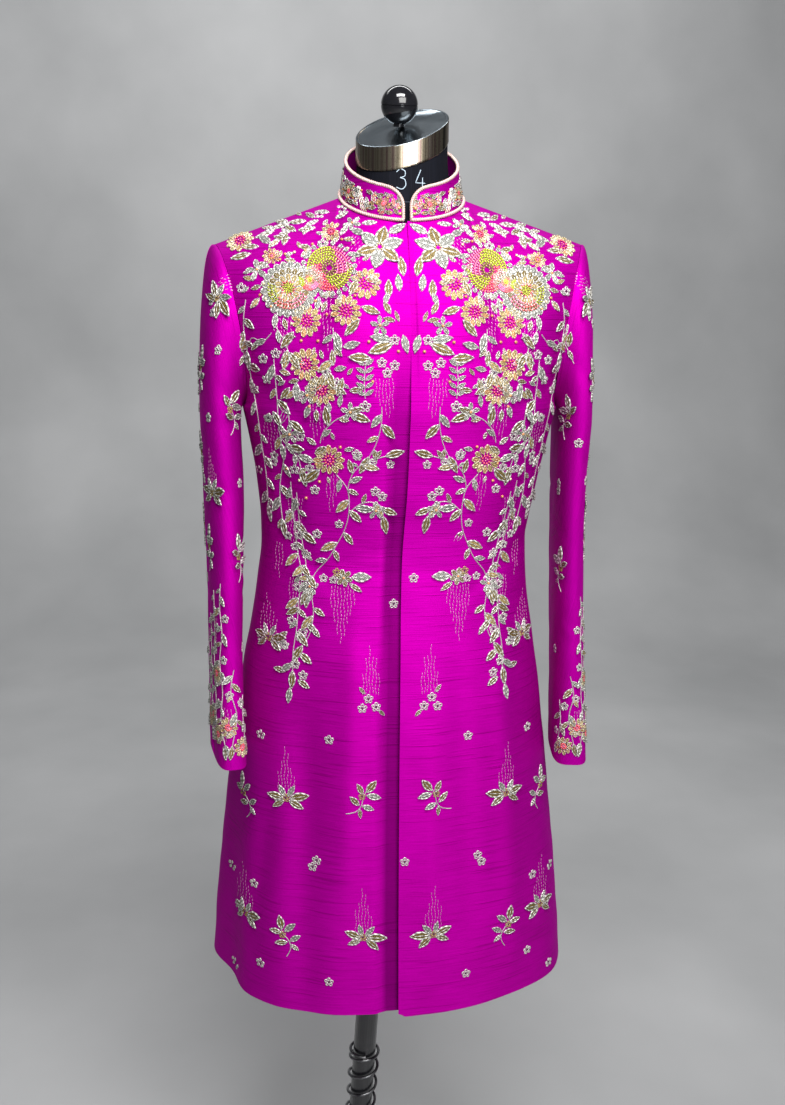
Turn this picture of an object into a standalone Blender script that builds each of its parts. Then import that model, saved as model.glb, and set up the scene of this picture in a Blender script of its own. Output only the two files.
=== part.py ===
"""Knee-length sherwani coat of magenta silk, worn by a limbless dress form on a stand.

Metres, +Z up, the floor is z = 0. The coat faces -Y and the wearer's left is at +X.
The origin is the middle of the base's underside. Each cloth piece is a wall: a grid of points on its
outer face, and the same grid moved inwards by the cloth's thickness, closed round the edges.
"""
import math

import bmesh
import bpy
import numpy as np
from mathutils import Matrix, Vector

# Driving dimensions of the coat
CLOTH = 0.0018            # wall of silk with its lining
SEAM_GAP = 0.0003         # between two pieces that are sewn to each other
HEM_Z = 0.480
UNDERARM_Z = 1.205
COAT_X = 0.056            # the coat's own axis, beside the middle of the base
UNDERLAP = 0.08           # part of a front's width that runs on under the panel on top
UNDERLAP_GAP = 0.0010     # air between the two fronts
OVER_HEM_DROP = 0.005     # the panel on top hangs this much lower at its edge
CORNER_RISE = 0.004       # its lower corner is rounded off

# Coat sections from the hem to the underarm, read across the body at each height
SECTION_COLUMNS = ("z", "middle_x", "half_width", "front", "back", "squareness")
SECTIONS = (
    (0.480, -0.0090, 0.2335, 0.152, 0.150, 2.15),
    (0.580, -0.0095, 0.2250, 0.148, 0.147, 2.20),
    (0.730, -0.0095, 0.2067, 0.139, 0.140, 2.25),
    (0.870, -0.0085, 0.1871, 0.128, 0.132, 2.30),
    (1.030, -0.0060, 0.1629, 0.106, 0.103, 2.35),
    (1.120, -0.0015, 0.1700, 0.115, 0.108, 2.40),
    (1.205, 0.0000, 0.1870, 0.125, 0.116, 2.45),
)

# Soft flutes of the skirt: angle from the middle front, depth at the hem (minus is outward),
# half the width in degrees, and the height at which the flute has died away
FLUTES = (
    (-72.0, 0.017, 24.0, 0.90),
    (-28.0, -0.007, 24.0, 0.86),
    (96.0, 0.008, 22.0, 0.84),
    (58.0, -0.005, 20.0, 0.78),
    (145.0, 0.007, 20.0, 0.88),
    (-118.0, -0.008, 22.0, 0.86),
    (-150.0, 0.008, 18.0, 0.84),
)

# Neck seam, shoulder seams and armholes
NECK_HALF_WIDTH = 0.070
NECK_FRONT = 0.065
NECK_BACK = 0.064
NECK_SIDE_Z = 1.441
NECK_SLOPE = 0.46         # rise of the neck seam for each metre towards the back
SHOULDER_TIP = (0.2155, 0.005, 1.390)
SHOULDER_SWAY = 0.003     # the wearer's left shoulder hangs this much higher, the right one lower
ARMHOLE_FRONT = 0.064
ARMHOLE_BACK = 0.060
ARMHOLE_HOLLOW = 0.016    # how far the armhole curves in towards the chest
NECK_SHARE = 0.41         # part of a panel's top edge that is neck seam, the rest is shoulder seam
CHEST_FULLNESS = 0.006
BLADE_FULLNESS = 0.015
FIELD = (0.24, 0.13, 0.22)  # half sizes of the egg shape that the cloth's thickness points into

# Sleeve sections from the cuff to just below the underarm. The twist in degrees turns the front edge
# towards the body. The wearer's right sleeve, side -1, hangs further forward, before the skirt.
SLEEVE_COLUMNS = ("z", "mid_x", "mid_y", "half_thick", "half_depth", "twist", "squareness")
SLEEVES = {
    1: (
        (0.772, 0.2155, -0.040, 0.0212, 0.054, 8.0, 3.6),
        (0.820, 0.2150, -0.032, 0.0206, 0.060, 8.0, 3.0),
        (0.900, 0.2142, -0.018, 0.0192, 0.066, 8.0, 2.6),
        (1.000, 0.2128, -0.005, 0.0194, 0.071, 8.0, 2.3),
        (1.100, 0.2116, 0.002, 0.0192, 0.074, 7.0, 2.3),
        (1.185, 0.2125, 0.003, 0.0208, 0.075, 6.0, 2.3),
    ),
    -1: (
        (0.800, 0.2100, -0.085, 0.0172, 0.054, 12.0, 3.6),
        (0.850, 0.2115, -0.069, 0.0171, 0.060, 11.0, 3.0),
        (0.920, 0.2125, -0.046, 0.0177, 0.066, 10.0, 2.6),
        (1.000, 0.2120, -0.025, 0.0200, 0.071, 9.0, 2.3),
        (1.100, 0.2124, -0.004, 0.0232, 0.074, 8.0, 2.3),
        (1.185, 0.2140, 0.003, 0.0236, 0.075, 6.0, 2.3),
    ),
}
SLEEVE_HEAD = 0.004       # rise of the sleeve head over the shoulder tip

# Standing collar and the cord round its edges
COLLAR_TOP_HALF_WIDTH = 0.0652
COLLAR_TOP_FRONT = 0.0590
COLLAR_TOP_BACK = 0.0605
COLLAR_TOP_SIDE_Z = 1.4775
COLLAR_TOP_SLOPE = 0.56
COLLAR_OPENING = 0.0045   # half of the opening at the front
COLLAR_CORNER = 0.020
COLLAR_LIFT = 0.0004      # its lower edge stands over the neck seam
CORD_RADIUS = 0.0013
CORD_GAP = 0.0004

# Dress form, its neck, its cap and its knob
FORM_BOTTOM_Z = 0.800
FORM_CLEARANCE = 0.008
FORM_REST_GAP = 0.0005    # under the shoulders, where the coat rests
NECK_RADIUS = 0.0520
CAP_RADIUS = 0.0530
CAP_HEIGHT = 0.026
CAP_TOP_Z = 1.518
CAP_SLOPE = (0.26, 0.46)    # rise of the cap's plate along +X and along +Y
CAP_BEVEL = 0.0012
KNOB_RADIUS = 0.0210
KNOB_RISE = 0.0228        # from the plate to the knob's middle
KNOB_TILT = 12.0
KNOB_SHIFT = 0.004        # the ball sits this much towards the wearer's right
STEM_RADIUS = 0.0065

# Stand
POLE_RADIUS = 0.0155
POLE_LEAN = 3.5           # degrees, the top leans towards +X
POLE_CROSSING_Z = 0.038   # height at which the leaning pole crosses the base's axis
BASE_RADIUS = 0.190
BASE_RIM = 0.008
HUB_RADIUS = 0.031
HUB_HEIGHT = 0.060
HUB_BORE = 0.0173
HUB_FLOOR = 0.016
WIRE_RADIUS = 0.002
SPRING_RADIUS = 0.0195
SPRING_TOP = 0.315
SPRING_TURNS = 10.75
DEAD_PITCH = 0.0048       # rise of the closed turn at each end

# Fineness of the grids: places across a panel from its middle to its side, and rows up it
ACROSS = (0.0, 0.08, 0.18, 0.30, NECK_SHARE, 0.52, 0.62, 0.72, 0.81, 0.90, 1.0)
CORNER_SHARE = 0.02
SKIRT_ROWS = 13
YOKE_ROWS = 8
SLEEVE_SIDES = 2 * YOKE_ROWS   # the sleeve's ring meets the armhole point for point
SLEEVE_ROWS = 10
SLEEVE_CAP_ROWS = 6
NECK_ROWS = 4
COLLAR_ROWS = 3
COLLAR_SIDES = 26
CORNER_STEPS = 4
TURN_STEPS = 10           # points to a turn of the spring
ROUND_STEPS = 40
FULL_TURN = 2 * math.pi


# Scene, materials and objects

def clear_scene():
    for thing in list(bpy.data.objects):
        bpy.data.objects.remove(thing, do_unlink=True)


def make_collection(name):
    collection = bpy.data.collections.new(name)
    bpy.context.scene.collection.children.link(collection)
    return collection


def make_material(name, color, roughness, metallic=0.0):
    material = bpy.data.materials.new(name)
    material.use_nodes = True
    shader = material.node_tree.nodes["Principled BSDF"]
    shader.inputs["Base Color"].default_value = (*color, 1.0)
    shader.inputs["Roughness"].default_value = roughness
    shader.inputs["Metallic"].default_value = metallic
    return material


def add_object(collection, name, data, material, parent):
    thing = bpy.data.objects.new(name, data)
    collection.objects.link(thing)
    if material is not None:
        thing.data.materials.append(material)
    thing.parent = parent
    return thing


def smooth_faces(mesh, angle=40.0):
    mesh.shade_smooth()
    mesh.set_sharp_from_angle(angle=math.radians(angle))


# Curves through the rows of a table, and easing

def table_value(table, columns, name, key):
    """A column of the table at a height, on a smooth curve through its rows."""
    keys = [row[0] for row in table]
    values = [row[columns.index(name)] for row in table]
    last = len(keys) - 1
    index = min(max(int(np.searchsorted(keys, key)) - 1, 0), last - 1)
    span = keys[index + 1] - keys[index]
    share = (key - keys[index]) / span

    def slope(i):
        low, high = max(i - 1, 0), min(i + 1, last)
        return (values[high] - values[low]) / (keys[high] - keys[low]) * span

    square, cube = share ** 2, share ** 3
    ends = values[index] * (2 * cube - 3 * square + 1) + values[index + 1] * (3 * square - 2 * cube)
    return ends + slope(index) * (cube - 2 * square + share) + slope(index + 1) * (cube - square)


def signed_power(value, power):
    return math.copysign(abs(value) ** power, value)


def smooth_step(value):
    value = min(max(value, 0.0), 1.0)
    return value * value * (3 - 2 * value)


# The coat's outer face

def flute_depth(angle, z):
    """How far the skirt's flutes push the cloth inwards at this angle in degrees and this height."""
    depth = 0.0
    for middle, deep, half_angle, top_z in FLUTES:
        away = abs((angle - middle + 180.0) % 360.0 - 180.0) / half_angle
        if away < 1.0:
            swell = 0.5 + 0.5 * math.cos(math.pi * away)
            depth += deep * swell * smooth_step((top_z - z) / (top_z - HEM_Z))
    return depth


def section_point(z, angle, fluted=True):
    """A point below the underarm. The angle is in degrees from the middle front, plus towards +X."""
    level = min(max(z, HEM_Z), UNDERARM_Z)
    middle_x, half, front, back, squareness = [table_value(SECTIONS, SECTION_COLUMNS, name, level)
                                               for name in SECTION_COLUMNS[1:]]
    turn = math.radians(angle)
    depth = front if math.cos(turn) > 0 else back
    power = 2.0 / squareness
    flat = Vector((half * signed_power(math.sin(turn), power),
                   -depth * signed_power(math.cos(turn), power), 0.0))
    if fluted:
        flat *= 1.0 - flute_depth(angle, z) / flat.length
    return Vector((flat.x + middle_x, flat.y, z))


def neck_point(angle):
    """A point of the neck seam. The angle is in degrees from the middle front, plus towards +X."""
    turn = math.radians(angle)
    depth = NECK_FRONT if math.cos(turn) > 0 else NECK_BACK
    y = -depth * math.cos(turn)
    return Vector((NECK_HALF_WIDTH * math.sin(turn), y, NECK_SIDE_Z + NECK_SLOPE * y))


def shoulder_tip(side):
    return Vector((side * SHOULDER_TIP[0], SHOULDER_TIP[1], SHOULDER_TIP[2] + side * SHOULDER_SWAY))


def armhole_point(side, face, share):
    """The armhole from the underarm, share 0, to the shoulder tip, share 1. face is -1 in front, +1 behind."""
    turn = math.pi * share
    point = section_point(UNDERARM_Z, 90.0 * side).lerp(shoulder_tip(side), (1 - math.cos(turn)) / 2)
    depth = ARMHOLE_FRONT if face < 0 else ARMHOLE_BACK
    point.x -= side * ARMHOLE_HOLLOW * math.sin(turn)
    point.y += face * depth * math.sin(turn)
    return point


def middle_line(face, share):
    """The coat's middle from the underarm's height, share 0, to the neck seam, share 1."""
    middle_angle, swell, knee_share = (0.0, 0.0, 0.62) if face < 0 else (180.0, 0.005, 0.66)
    low = section_point(UNDERARM_Z, middle_angle)
    high = neck_point(middle_angle)
    knee = Vector((0.0, low.y + swell, low.z + knee_share * (high.z - low.z)))
    return low * (1 - share) ** 2 + knee * 2 * share * (1 - share) + high * share ** 2


def panel_angle(side, face, across):
    """The section angle of a place across a panel, 0 at the middle of the coat and 1 at the side seam."""
    return side * 90.0 * across if face < 0 else side * (180.0 - 90.0 * across)


def low_seam(side, face, across):
    return section_point(UNDERARM_Z, panel_angle(side, face, across))


def top_seam(side, face, across):
    if across < NECK_SHARE:
        return neck_point(panel_angle(side, face, across / NECK_SHARE))
    return neck_point(90.0 * side).lerp(shoulder_tip(side), (across - NECK_SHARE) / (1 - NECK_SHARE))


def yoke_point(side, face, across, up):
    """The upper part of a panel, spread between its four seams.

    across runs from the middle to the armhole, and up from the underarm's height to the top seam.
    """
    point = low_seam(side, face, across).lerp(top_seam(side, face, across), up)
    point += middle_line(face, up).lerp(armhole_point(side, face, up), across)
    low_ends = low_seam(side, face, 0.0).lerp(low_seam(side, face, 1.0), across)
    top_ends = top_seam(side, face, 0.0).lerp(top_seam(side, face, 1.0), across)
    point -= low_ends.lerp(top_ends, up)
    fullness = CHEST_FULLNESS if face < 0 else BLADE_FULLNESS
    point.y += face * fullness * math.sin(math.pi * across) * math.sin(math.pi * up)
    return point


def outward(point):
    """The way the cloth faces, one direction for two pieces where they meet at a seam."""
    rise = max(point.z - UNDERARM_Z, 0.0)
    return Vector((point.x / FIELD[0] ** 2, point.y / FIELD[1] ** 2, rise / FIELD[2] ** 2)).normalized()


# Walls from grids of points

def wall_mesh(name, outer, inner, closed=False):
    """A closed wall between two grids, rows by columns. closed joins the last column to the first."""
    rows, columns = len(outer), len(outer[0])
    work = bmesh.new()
    out = [[work.verts.new(point) for point in row] for row in outer]
    inn = [[work.verts.new(point) for point in row] for row in inner]
    spans = [(c, (c + 1) % columns) for c in range(columns if closed else columns - 1)]
    for r in range(rows - 1):
        for c, d in spans:
            work.faces.new((out[r][c], out[r][d], out[r + 1][d], out[r + 1][c]))
            work.faces.new((inn[r][c], inn[r + 1][c], inn[r + 1][d], inn[r][d]))
        if not closed:
            work.faces.new((out[r][0], out[r + 1][0], inn[r + 1][0], inn[r][0]))
            work.faces.new((out[r + 1][-1], out[r][-1], inn[r][-1], inn[r + 1][-1]))
    for c, d in spans:
        work.faces.new((out[0][d], out[0][c], inn[0][c], inn[0][d]))
        work.faces.new((out[-1][c], out[-1][d], inn[-1][d], inn[-1][c]))
    return finished_mesh(name, work)


def finished_mesh(name, work):
    """Turns every face outwards and keeps the working mesh under a name."""
    bmesh.ops.recalc_face_normals(work, faces=work.faces)
    if work.calc_volume(signed=True) < 0:
        bmesh.ops.reverse_faces(work, faces=work.faces)
    mesh = bpy.data.meshes.new(name)
    work.to_mesh(mesh)
    work.free()
    smooth_faces(mesh)
    return mesh


def panel_wall(name, grid):
    return wall_mesh(name, grid, [[point - outward(point) * CLOTH for point in row] for row in grid])


# Fronts and back

SIDE_END = 1.0 - 0.0006   # a panel stops here, half a seam gap short of the side seam and armhole
TOP_END = 1.0 - 0.0008    # and here, half a seam gap short of the shoulder seam


def panel_column(side, face, across, hem_z):
    """One line of points up a panel, from its hem to its neck or shoulder seam."""
    across = min(across, SIDE_END)
    angle = panel_angle(side, face, across)
    column = [section_point(hem_z + (UNDERARM_Z - hem_z) * r / SKIRT_ROWS, angle)
              for r in range(SKIRT_ROWS)]
    column += [yoke_point(side, face, across, TOP_END * r / YOKE_ROWS) for r in range(YOKE_ROWS + 1)]
    return column


def rows_from_columns(columns):
    return [list(row) for row in zip(*columns)]


def front_on_top():
    """The wearer's left front. Its hem drops towards the front edge and the corner is rounded."""
    columns = []
    for across in (0.0, CORNER_SHARE) + ACROSS[1:]:
        hem_z = HEM_Z - OVER_HEM_DROP * (1 - smooth_step(2 * across))
        if across == 0.0:
            hem_z += CORNER_RISE
        columns.append(panel_column(1, -1, across, hem_z))
    return panel_wall("front_left", rows_from_columns(columns))


def front_below():
    """The wearer's right front. It dips at the front edge and runs on under the other front."""
    columns = []
    for share in (-UNDERLAP,) + ACROSS:
        side = 1 if share < 0 else -1
        dip = (CLOTH + UNDERLAP_GAP) * (1 - smooth_step(share / ACROSS[1]))
        column = panel_column(side, -1, abs(share), HEM_Z)
        columns.append([point - outward(point) * dip for point in column])
    return panel_wall("front_right", rows_from_columns(columns))


def back_panel():
    columns = [panel_column(1, 1, across, HEM_Z) for across in reversed(ACROSS)]
    columns += [panel_column(-1, 1, across, HEM_Z) for across in ACROSS[1:]]
    return panel_wall("back", rows_from_columns(columns))


# Sleeves

def sleeve_ring(side, z):
    """A level ring of the hanging sleeve, from its outer side round by the front."""
    mid_x, mid_y, thick, depth, twist, squareness = [table_value(SLEEVES[side], SLEEVE_COLUMNS, name, z)
                                                     for name in SLEEVE_COLUMNS[1:]]
    power = 2.0 / squareness
    twisted = Matrix.Rotation(math.radians(-twist), 2)
    ring = []
    for step in range(SLEEVE_SIDES):
        turn = FULL_TURN * step / SLEEVE_SIDES
        out, back = twisted @ Vector((thick * signed_power(math.cos(turn), power),
                                      -depth * signed_power(math.sin(turn), power)))
        ring.append(Vector((side * (mid_x + out), mid_y + back, z)))
    return ring


def armhole_ring(side):
    """The armhole seam as a ring that starts at the shoulder tip, just outside the body panels."""
    ring = []
    for step in range(SLEEVE_SIDES):
        share = 2 * step / SLEEVE_SIDES
        point = armhole_point(side, -1, 1 - share) if share <= 1 else armhole_point(side, 1, share - 1)
        point.x += side * SEAM_GAP
        ring.append(point)
    return ring


def sleeve_grid(side):
    high, low = SLEEVES[side][-1][0], SLEEVES[side][0][0]
    top, below = armhole_ring(side), sleeve_ring(side, high)
    rows = []
    for r in range(SLEEVE_CAP_ROWS):
        bend = math.pi / 2 * r / SLEEVE_CAP_ROWS
        row = []
        for step, (a, b) in enumerate(zip(top, below)):
            x_y = a.lerp(b, math.sin(bend))
            z = a.z + (b.z - a.z) * (1 - math.cos(bend))
            head = SLEEVE_HEAD * max(math.cos(FULL_TURN * step / SLEEVE_SIDES), 0.0) * math.sin(2 * bend)
            row.append(Vector((x_y.x, x_y.y, z + head)))
        rows.append(row)
    rows += [sleeve_ring(side, high + (low - high) * r / SLEEVE_ROWS) for r in range(SLEEVE_ROWS + 1)]
    return rows


def tube_moved_in(grid, middles, depth):
    """A tube's grid moved inwards along its own normals, which point away from each row's middle."""
    rows, columns = len(grid), len(grid[0])
    moved = []
    for r in range(rows):
        row = []
        for c in range(columns):
            along = grid[min(r + 1, rows - 1)][c] - grid[max(r - 1, 0)][c]
            around = grid[r][(c + 1) % columns] - grid[r][c - 1]
            normal = along.cross(around).normalized()
            if normal.dot(grid[r][c] - middles[r]) < 0:
                normal.negate()
            row.append(grid[r][c] - normal * depth)
        moved.append(row)
    return moved


def sleeve(name, side):
    grid = sleeve_grid(side)
    middles = [sum(row, Vector()) / len(row) for row in grid]
    return wall_mesh(name, grid, tube_moved_in(grid, middles, CLOTH), closed=True)


# Collar

def collar_top_point(angle):
    turn = math.radians(angle)
    depth = COLLAR_TOP_FRONT if math.cos(turn) > 0 else COLLAR_TOP_BACK
    y = -depth * math.cos(turn)
    return Vector((COLLAR_TOP_HALF_WIDTH * math.sin(turn), y, COLLAR_TOP_SIDE_Z + COLLAR_TOP_SLOPE * y))


def collar_point(angle, up):
    foot = neck_point(angle) + Vector((0, 0, COLLAR_LIFT))
    return foot.lerp(collar_top_point(angle), up)


def collar_profile():
    """Places along the collar from its front edge to the middle back: angle and share of full height."""
    height = (collar_top_point(0) - neck_point(0)).length
    places = []
    for step in range(CORNER_STEPS + 1):
        turn = math.pi / 2 * step / CORNER_STEPS
        away = COLLAR_OPENING + COLLAR_CORNER * (1 - math.cos(turn))
        share = 1 - COLLAR_CORNER * (1 - math.sin(turn)) / height
        places.append((math.degrees(math.asin(away / NECK_HALF_WIDTH)), share))
    first = places[-1][0]
    half = COLLAR_SIDES // 2
    places += [(first + (180 - first) * step / half, 1.0) for step in range(1, half + 1)]
    return places


def collar_inward(point):
    """The collar's thickness lies in the plane of the neck seam."""
    level = Vector((point.x / NECK_HALF_WIDTH ** 2, point.y / NECK_FRONT ** 2, 0)).normalized()
    return Vector((-level.x, -level.y, -NECK_SLOPE * level.y))


def collar_wall():
    profile = collar_profile()
    around = profile + [(360 - angle, share) for angle, share in reversed(profile[:-1])]
    grid = [[collar_point(angle, share * r / COLLAR_ROWS) for angle, share in around]
            for r in range(COLLAR_ROWS + 1)]
    inner = [[point + collar_inward(point) * CLOTH for point in row] for row in grid]
    return wall_mesh("collar", grid, inner)


def cord_path():
    """The cord's middle line: on the face along the foot and the front edges, on the edge along the top."""
    off = CORD_RADIUS + CORD_GAP
    profile = collar_profile()
    foot = []
    for angle, _ in profile[:1] + profile[2:]:
        point = collar_point(angle, 0)
        foot.append(point - collar_inward(point) * off + Vector((0, 0, CORD_RADIUS)))
    top = []
    for index, (angle, share) in enumerate(profile):
        turn = math.pi / 2 * min(index / CORNER_STEPS, 1.0)
        point = collar_point(angle, share)
        inward = collar_inward(point)
        along_face = Vector((-math.cos(turn), 0, math.sin(turn))) * math.sin(turn)
        sunk = CLOTH / 2 if index > CORNER_STEPS else 0.0
        top.append(point + (along_face - inward * math.cos(turn)) * off + inward * sunk)
    half = foot[::-1] + [foot[0].lerp(top[0], 0.5)] + top
    return half + [Vector((-point.x, point.y, point.z)) for point in half[-2:0:-1]]


# Curves as solid wires and tubes

def wire_curve(name, points, radius, resolution, cyclic=False):
    curve = bpy.data.curves.new(name, "CURVE")
    curve.dimensions = "3D"
    curve.bevel_depth = radius
    curve.bevel_resolution = resolution
    curve.use_fill_caps = not cyclic
    spline = curve.splines.new("POLY")
    spline.points.add(len(points) - 1)
    for spot, point in zip(spline.points, points):
        spot.co = (*point, 1.0)
    spline.use_cyclic_u = cyclic
    return curve


# Dress form

def form_depth(across, up):
    """How far the form lies inside the coat's outer face, least where the shoulders carry the coat."""
    carried = smooth_step((across - NECK_SHARE - 0.04) / 0.12) * smooth_step((up - 0.55) / 0.40)
    return CLOTH + FORM_REST_GAP + (FORM_CLEARANCE - FORM_REST_GAP) * (1 - carried)


def form_level(surface, depth_at):
    """A ring round the form: the front of the left side, then the back, then the front of the right."""
    ring = []
    for side, face, places in ((1, -1, ACROSS), (1, 1, ACROSS[::-1]), (-1, 1, ACROSS[1:]), (-1, -1, ACROSS[:0:-1])):
        for across in places:
            point = surface(side, face, across)
            ring.append(point - outward(point) * depth_at(across))
    return ring


def form_rings():
    rings = []
    rows = 6
    for r in range(rows):
        z = FORM_BOTTOM_Z + (UNDERARM_Z - FORM_BOTTOM_Z) * r / rows
        rings.append(form_level(lambda side, face, across: section_point(z, panel_angle(side, face, across), False),
                                lambda across: CLOTH + FORM_CLEARANCE))
    for r in range(YOKE_ROWS + 1):
        up = r / YOKE_ROWS
        rings.append(form_level(lambda side, face, across: yoke_point(side, face, across, up),
                                lambda across: form_depth(across, up)))
    return rings


def neck_top(x, y):
    return CAP_TOP_Z - CAP_HEIGHT - SEAM_GAP + CAP_SLOPE[0] * x + CAP_SLOPE[1] * y


def form_mesh():
    """The form's body and neck, one closed smooth shape with its armholes closed flat."""
    work = bmesh.new()
    rings = [[work.verts.new(point) for point in ring] for ring in form_rings()]
    count = len(rings[0])
    for low, high in zip(rings, rings[1:]):
        for c in range(count):
            d = (c + 1) % count
            work.faces.new((low[c], low[d], high[d], high[c]))
    work.faces.new(rings[0][::-1])
    neck_count = ACROSS.index(NECK_SHARE) + 1
    places = len(ACROSS)
    collar_ring = (rings[-1][:neck_count] + rings[-1][2 * places - neck_count:2 * places]
                   + rings[-1][2 * places:2 * places + neck_count - 1] + rings[-1][-(neck_count - 1):])
    level = collar_ring
    for r in range(1, NECK_ROWS + 1):
        share = r / NECK_ROWS
        narrow = 1 - (1 - share) ** 3
        ring = []
        for vertex in collar_ring:
            flat = Vector((vertex.co.x, vertex.co.y, 0))
            spot = flat.lerp(flat.normalized() * NECK_RADIUS, narrow)
            z = vertex.co.z + (neck_top(spot.x, spot.y) - vertex.co.z) * share
            ring.append(work.verts.new((spot.x, spot.y, z)))
        for c in range(len(ring)):
            d = (c + 1) % len(ring)
            if (level[c].co - level[d].co).length > SEAM_GAP:
                work.faces.new((level[c], level[d], ring[d], ring[c]))
        level = ring
    work.faces.new(level)
    bmesh.ops.remove_doubles(work, verts=work.verts, dist=0.00005)
    return finished_mesh("form_body", work)


def slanted_cylinder(name, radius, low_z, high_z):
    """An upright cylinder whose two ends follow the slope of the cap's plate."""
    work = bmesh.new()
    bmesh.ops.create_cone(work, cap_ends=True, segments=ROUND_STEPS, radius1=radius, radius2=radius,
                          depth=high_z - low_z)
    slant = Matrix.Identity(4)
    slant[2][0], slant[2][1] = CAP_SLOPE
    slant[2][3] = (low_z + high_z) / 2
    bmesh.ops.transform(work, matrix=slant, verts=work.verts)
    return finished_mesh(name, work)


def bevel(thing, width, segments=2):
    modifier = thing.modifiers.new("bevel", "BEVEL")
    modifier.width = width
    modifier.segments = segments
    modifier.limit_method = "ANGLE"


def turned(collection, name, profile, material, parent, steps=ROUND_STEPS):
    """A turned piece: the profile holds radius and height down its outer side, from axis to axis."""
    mesh = bpy.data.meshes.new(name)
    mesh.from_pydata([(r, 0.0, z) for r, z in profile], [(i, i + 1) for i in range(len(profile) - 1)], [])
    thing = add_object(collection, name, mesh, material, parent)
    screw = thing.modifiers.new("turn", "SCREW")
    screw.steps = steps
    screw.render_steps = steps
    screw.use_merge_vertices = True
    screw.merge_threshold = 0.00002
    screw.use_smooth_shade = True
    return thing


def knob_profile(stem_end):
    """A ball on a short stem, with a fine groove where its halves meet."""
    groove, steps = 0.0006, 6
    stem_angle = math.pi - math.asin(STEM_RADIUS / KNOB_RADIUS)
    upper = [(KNOB_RADIUS * math.sin(a), KNOB_RADIUS * math.cos(a))
             for a in np.linspace(0, math.pi / 2 - 0.03, steps)]
    lower = [(KNOB_RADIUS * math.sin(a), KNOB_RADIUS * math.cos(a))
             for a in np.linspace(math.pi / 2 + 0.03, stem_angle, steps)]
    return upper + [(KNOB_RADIUS - groove, 0.0)] + lower + [(STEM_RADIUS, stem_end), (0.0, stem_end)]


def base_profile():
    """Flat foot with a rounded rim, a low dome and a hub with a blind bore for the pole."""
    dome = [(BASE_RADIUS * s, BASE_RIM + 0.010 * (1 - s ** 2)) for s in (0.3, 0.5, 0.7, 0.85, 0.96)]
    return ([(0.0, HUB_FLOOR), (HUB_BORE, HUB_FLOOR), (HUB_BORE, HUB_HEIGHT),
             (HUB_RADIUS - 0.003, HUB_HEIGHT), (HUB_RADIUS, HUB_HEIGHT - 0.003), (HUB_RADIUS, 0.026),
             (HUB_RADIUS + 0.006, 0.019)] + dome
            + [(BASE_RADIUS, BASE_RIM - 0.003), (BASE_RADIUS, 0.001), (BASE_RADIUS - 0.001, 0.0), (0.0, 0.0)])


def spring_points(start, end):
    """A helix with a closed turn at each end, on the pole's axis."""
    pitch = (end - start - 2 * DEAD_PITCH) / (SPRING_TURNS - 2)
    points = []
    for step in range(int(SPRING_TURNS * TURN_STEPS) + 1):
        turns = step / TURN_STEPS
        open_turns = min(max(turns - 1, 0), SPRING_TURNS - 2)
        height = start + DEAD_PITCH * (turns - open_turns) + pitch * open_turns
        angle = FULL_TURN * turns
        points.append((SPRING_RADIUS * math.cos(angle), SPRING_RADIUS * math.sin(angle), height))
    return points


# Assembly

def add_coat(collection, axis, materials):
    silk, cord = materials["silk"], materials["cord"]
    pieces = (front_on_top(), front_below(), back_panel(), sleeve("sleeve_left", 1),
              sleeve("sleeve_right", -1), collar_wall())
    for mesh in pieces:
        add_object(collection, mesh.name, mesh, silk, axis)
    curve = wire_curve("collar_piping", cord_path(), CORD_RADIUS, 1, cyclic=True)
    add_object(collection, "collar_piping", curve, cord, axis)


def add_form(collection, axis, materials):
    add_object(collection, "form_body", form_mesh(), materials["form_cloth"], axis)
    cap = slanted_cylinder("neck_cap", CAP_RADIUS, CAP_TOP_Z - CAP_HEIGHT, CAP_TOP_Z)
    bevel(add_object(collection, "neck_cap", cap, materials["chrome"], axis), CAP_BEVEL)
    knob = turned(collection, "knob", knob_profile(-KNOB_RISE), materials["gloss_black"], axis, 24)
    seat_knob(collection, knob)


def seat_knob(collection, knob):
    """Tilts the knob forward and brings the end of its stem down to the slanting plate."""
    forward = KNOB_RISE * math.sin(math.radians(KNOB_TILT))
    place = Matrix.Translation((-KNOB_SHIFT, -forward, CAP_TOP_Z + KNOB_RISE))
    place = place @ Matrix.Rotation(math.radians(KNOB_TILT), 4, "X")
    mesh = bpy.data.meshes.new_from_object(knob.evaluated_get(bpy.context.evaluated_depsgraph_get()))
    work = bmesh.new()
    work.from_mesh(mesh)
    bmesh.ops.remove_doubles(work, verts=work.verts, dist=0.00002)
    stem_end = min(vertex.co.z for vertex in work.verts)
    for vertex in work.verts:
        at_end = vertex.co.z < stem_end + 0.0001
        vertex.co = place @ vertex.co
        if at_end:
            plate = CAP_TOP_Z + CAP_SLOPE[0] * vertex.co.x + CAP_SLOPE[1] * vertex.co.y
            vertex.co.z = plate + 1.3 * SEAM_GAP
    knob.modifiers.clear()
    old = knob.data
    knob.data = finished_mesh("knob", work)
    knob.data.materials.clear()
    knob.data.materials.append(old.materials[0])


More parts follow.
